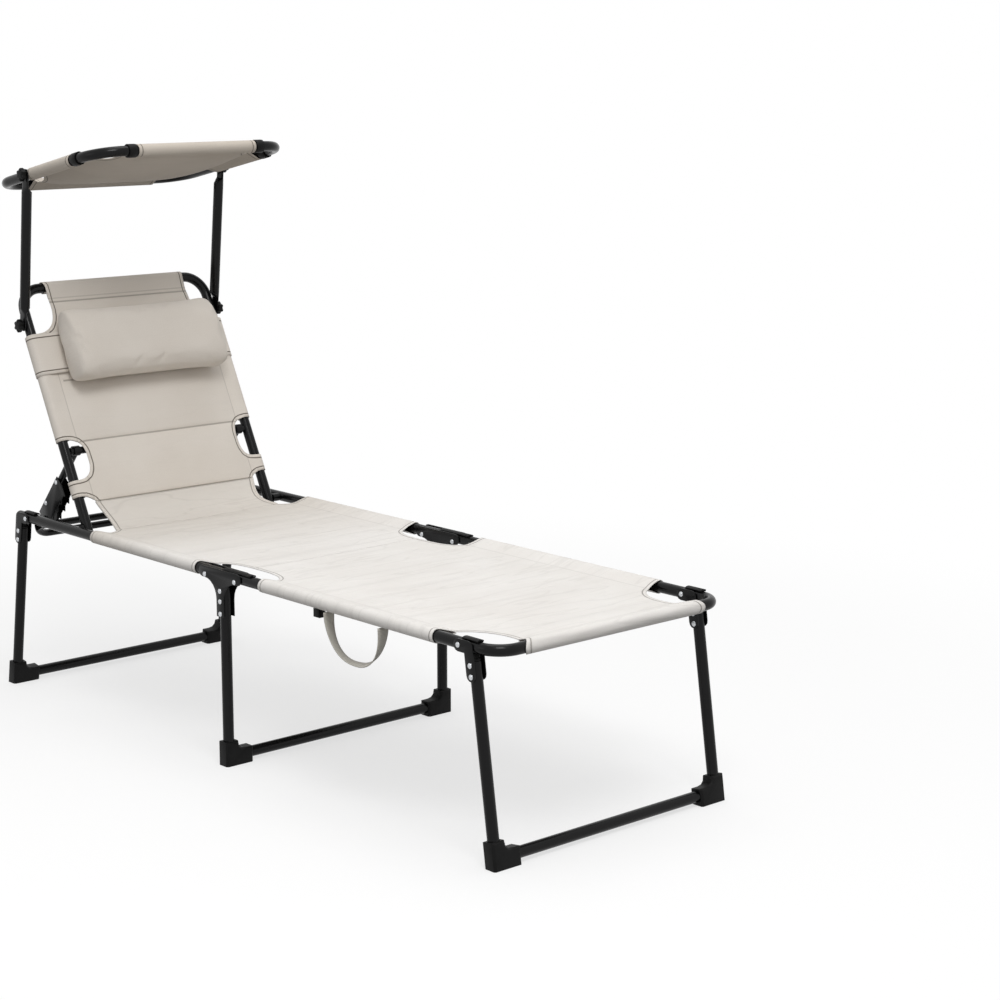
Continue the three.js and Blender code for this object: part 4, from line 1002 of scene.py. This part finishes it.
def addBand():
    bm = bmesh.new()
    edgeLayer, seamLayer, quiltLayer, uvLayer = clothLayers(bm)
    x, r = back["halfSpan"], band["radius"]
    half, count = band["flatHalf"], band["flatSteps"]
    turns = [math.radians(band["hook"] * step / band["arcSteps"]) for step in range(band["arcSteps"] + 1)]
    hooked = [(x + r * math.sin(turn), r * math.cos(turn)) for turn in turns]
    outline = hooked[::-1] + [(half - 2 * half * step / count, band["front"]) for step in range(count + 1)]
    outline += [(-px, pz) for px, pz in hooked]
    row = [bm.verts.new((px, band["start"], pz)) for px, pz in outline]
    edges = [bm.edges.new(pair) for pair in zip(row, row[1:])]
    for _ in range(band["rows"]):
        grown = bmesh.ops.extrude_edge_only(bm, edges=edges)["geom"]
        edges = [item for item in grown if isinstance(item, bmesh.types.BMEdge)
                 and all(v in grown for v in item.verts)]
        new = [item for item in grown if isinstance(item, bmesh.types.BMVert)]
        edges = [e for e in edges if all(v in new for v in e.verts)]
        bmesh.ops.translate(bm, verts=new, vec=(0, band["width"] / band["rows"], 0))
    for vert in bm.verts:
        y = vert.co.y
        vert[edgeLayer] = min(y - band["start"], band["start"] + band["width"] - y)
        vert[seamLayer] = vert[quiltLayer] = farOff
    bmesh.ops.recalc_face_normals(bm, faces=bm.faces)
    for face in bm.faces:
        for loop in face.loops:
            loop[uvLayer].uv = (loop.vert.co.x * 0.001, loop.vert.co.y * 0.001)
    area = sum(face.calc_area() for face in bm.faces) * 1e-6
    body = bodyOf["pillow_band"]
    piece = finishPiece("pillowBand", bm, "padded_beige_fabric", body, ["pillow_band"], onBack)
    wall = piece.modifiers.new("wall", "SOLIDIFY")
    wall.thickness = cloth["thickness"] * 0.001
    wall.offset = 1
    applied(piece)
    print("band done", round(area, 4), len(piece.data.polygons))


addBand()


# Carry strap: flat webbing in a loop under the left foot rail, slightly twisted beside its lowest point
strap = {"startY": 221, "endY": 380, "drop": 84, "width": 25, "thickness": 1.8, "tuck": 13.5, "steps": 48,
         "columns": 6, "lean": 24}


def addStrap():
    bm = bmesh.new()
    uvLayer = bm.loops.layers.uv.new("cloth")
    centreY = (strap["startY"] + strap["endY"]) / 2
    halfY = (strap["endY"] - strap["startY"]) / 2
    rows = []
    for step in range(strap["steps"] + 1):
        angle = math.pi * step / strap["steps"]
        y = centreY - halfY * math.copysign(abs(math.cos(angle)) ** 0.85, math.cos(angle))
        z = rail["height"] - strap["tuck"] - strap["drop"] * math.sin(angle) ** 0.9
        along = Vector((0, halfY * math.sin(angle), -strap["drop"] * math.cos(angle))).normalized()
        lean = math.radians(strap["lean"]) * math.sin(2 * angle)
        across = Vector((math.cos(lean), 0, 0)) + Vector((1, 0, 0)).cross(along) * math.sin(lean)
        half = strap["width"] / 2 * (1 - 0.1 * math.sin(angle) ** 6)
        middle = Vector((-rail["halfSpan"], y, z))
        rows.append([bm.verts.new(middle + across * half * (2 * k / strap["columns"] - 1))
                     for k in range(strap["columns"] + 1)])
    for low, high in zip(rows, rows[1:]):
        pairs = [*zip(low, low[1:]), *zip(high, high[1:])]
        bmesh.ops.bridge_loops(bm, edges=[bm.edges.get(pair) or bm.edges.new(pair) for pair in pairs])
    bm.verts.index_update()
    for face in bm.faces:
        for loop in face.loops:
            row, column = divmod(loop.vert.index, strap["columns"] + 1)
            share = column / strap["columns"]
            loop[uvLayer].uv = (share * strap["width"] * 0.001, row / strap["steps"] * 0.26)
    bmesh.ops.recalc_face_normals(bm, faces=bm.faces)
    area = sum(face.calc_area() for face in bm.faces) * 1e-6
    piece = finishPiece("carryStrap", bm, "grey_webbing", bodyOf["carry_strap"], ["carry_strap"])
    wall = piece.modifiers.new("wall", "SOLIDIFY")
    wall.thickness = strap["thickness"] * 0.001
    wall.offset = 0
    applied(piece)
    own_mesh(piece)
    print("strap done", round(area, 5))


addStrap()


# Rubbing strips on the foot rails, where the halves fold
strip = {"start": 617, "end": 707, "radius": 12.6, "rise": 3.2, "halfAngle": 36}


def addStrips():
    for side, sign in sides.items():
        bm = bmesh.new()
        made = bmesh.ops.create_grid(bm, x_segments=8, y_segments=10, size=1)["verts"]
        for vert in made:
            angle = math.radians(strip["halfAngle"]) * vert.co.x
            y = strip["start"] + (strip["end"] - strip["start"]) * (vert.co.y + 1) / 2
            vert.co = Vector((sign * rail["halfSpan"] + strip["radius"] * math.sin(angle), y,
                              rail["height"] + strip["radius"] * math.cos(angle)))
        bmesh.ops.recalc_face_normals(bm, faces=bm.faces)
        if sum(face.normal.z for face in bm.faces) < 0:
            bmesh.ops.reverse_faces(bm, faces=bm.faces)
        piece = finishPiece(f"rubbingStrip{side.title()}", bm, "moulded_black_plastic", "foot_half")
        wall = piece.modifiers.new("wall", "SOLIDIFY")
        wall.thickness = strip["rise"] * 0.001
        wall.offset = 0.2
        soften = piece.modifiers.new("soften", "BEVEL")
        soften.width = 0.0008
        soften.segments = 2
        applied(piece)
        hardened(piece)
    print("strips done")


addStrips()


# Floor, world and lamps. Each lamp has its place and aim in metres, the width of its face and its watts
lamps = {
    "keyLamp": ((-1.3, -2.2, 3.9), (0, 0.1, 0.4), 1.5, 66),
    "topLamp": ((0.5, 0.3, 4.0), (0, 0, 0.4), 2.0, 32),
    "sideLamp": ((-3.4, 0.8, 1.8), (0, 0, 0.5), 1.6, 5),
}
studio = {"white": 1.0, "fill": 0.55, "nearGlow": 0.65, "nearTo": 0.9, "farFrom": 2.4, "bounce": "#949494"}


def addStudio():
    mesh = bpy.data.meshes.new("studioFloor")
    bm = bmesh.new()
    bmesh.ops.create_grid(bm, x_segments=1, y_segments=1, size=30)
    bm.to_mesh(mesh)
    bm.free()
    floor = bpy.data.objects.new("studioFloor", mesh)
    bpy.context.scene.collection.objects.link(floor)
    material, tree = newMaterial("studioFloorPaint")
    spot = addNode(tree, "ShaderNodeTexCoord").outputs["Object"]
    apart = addNode(tree, "ShaderNodeVectorMath", links={0: spot}, operation="LENGTH").outputs["Value"]
    ray = addNode(tree, "ShaderNodeLightPath")
    seen = calc(tree, "MAXIMUM", ray.outputs["Is Camera Ray"], ray.outputs["Is Glossy Ray"])
    glowing = ramp(tree, apart, studio["nearTo"], studio["farFrom"], studio["nearGlow"], studio["white"])
    far = calc(tree, "MULTIPLY", glowing, seen)
    colour = tinted(tree, seen, studio["bounce"], "#ffffff")
    paint = addNode(tree, "ShaderNodeBsdfPrincipled", links={"Base Color": colour},
                    values={"Roughness": 0.95, "Specular IOR Level": 0.1})
    glow = addNode(tree, "ShaderNodeEmission", values={"Color": (1, 1, 1, 1), "Strength": 1.0})
    mix = addNode(tree, "ShaderNodeMixShader", links={0: far, 1: paint.outputs[0], 2: glow.outputs[0]})
    addNode(tree, "ShaderNodeOutputMaterial", links={"Surface": mix.outputs[0]})
    mesh.materials.append(material)
    world = bpy.data.worlds.new("studio")
    bpy.context.scene.world = world
    world.use_nodes = True
    tree = world.node_tree
    tree.nodes.clear()
    ray = addNode(tree, "ShaderNodeLightPath")
    seen = calc(tree, "MAXIMUM", ray.outputs["Is Camera Ray"], ray.outputs["Is Glossy Ray"])
    seen = calc(tree, "MAXIMUM", seen, ray.outputs["Is Transmission Ray"])
    strength = ramp(tree, seen, 0.0, 1.0, studio["fill"], studio["white"])
    shade = addNode(tree, "ShaderNodeBackground", links={"Strength": strength},
                    values={"Color": (1, 1, 1, 1)})
    addNode(tree, "ShaderNodeOutputWorld", links={"Surface": shade.outputs[0]})
    for name, (spot, aim, size, power) in lamps.items():
        data = bpy.data.lights.new(name, "AREA")
        data.energy = power
        data.size = size
        lamp = bpy.data.objects.new(name, data)
        lamp.location = spot
        lamp.rotation_euler = (Vector(aim) - Vector(spot)).to_track_quat("-Z", "Y").to_euler()
        bpy.context.scene.collection.objects.link(lamp)
    bpy.context.scene.view_settings.view_transform = "Standard"
    print("studio ready")


addStudio()
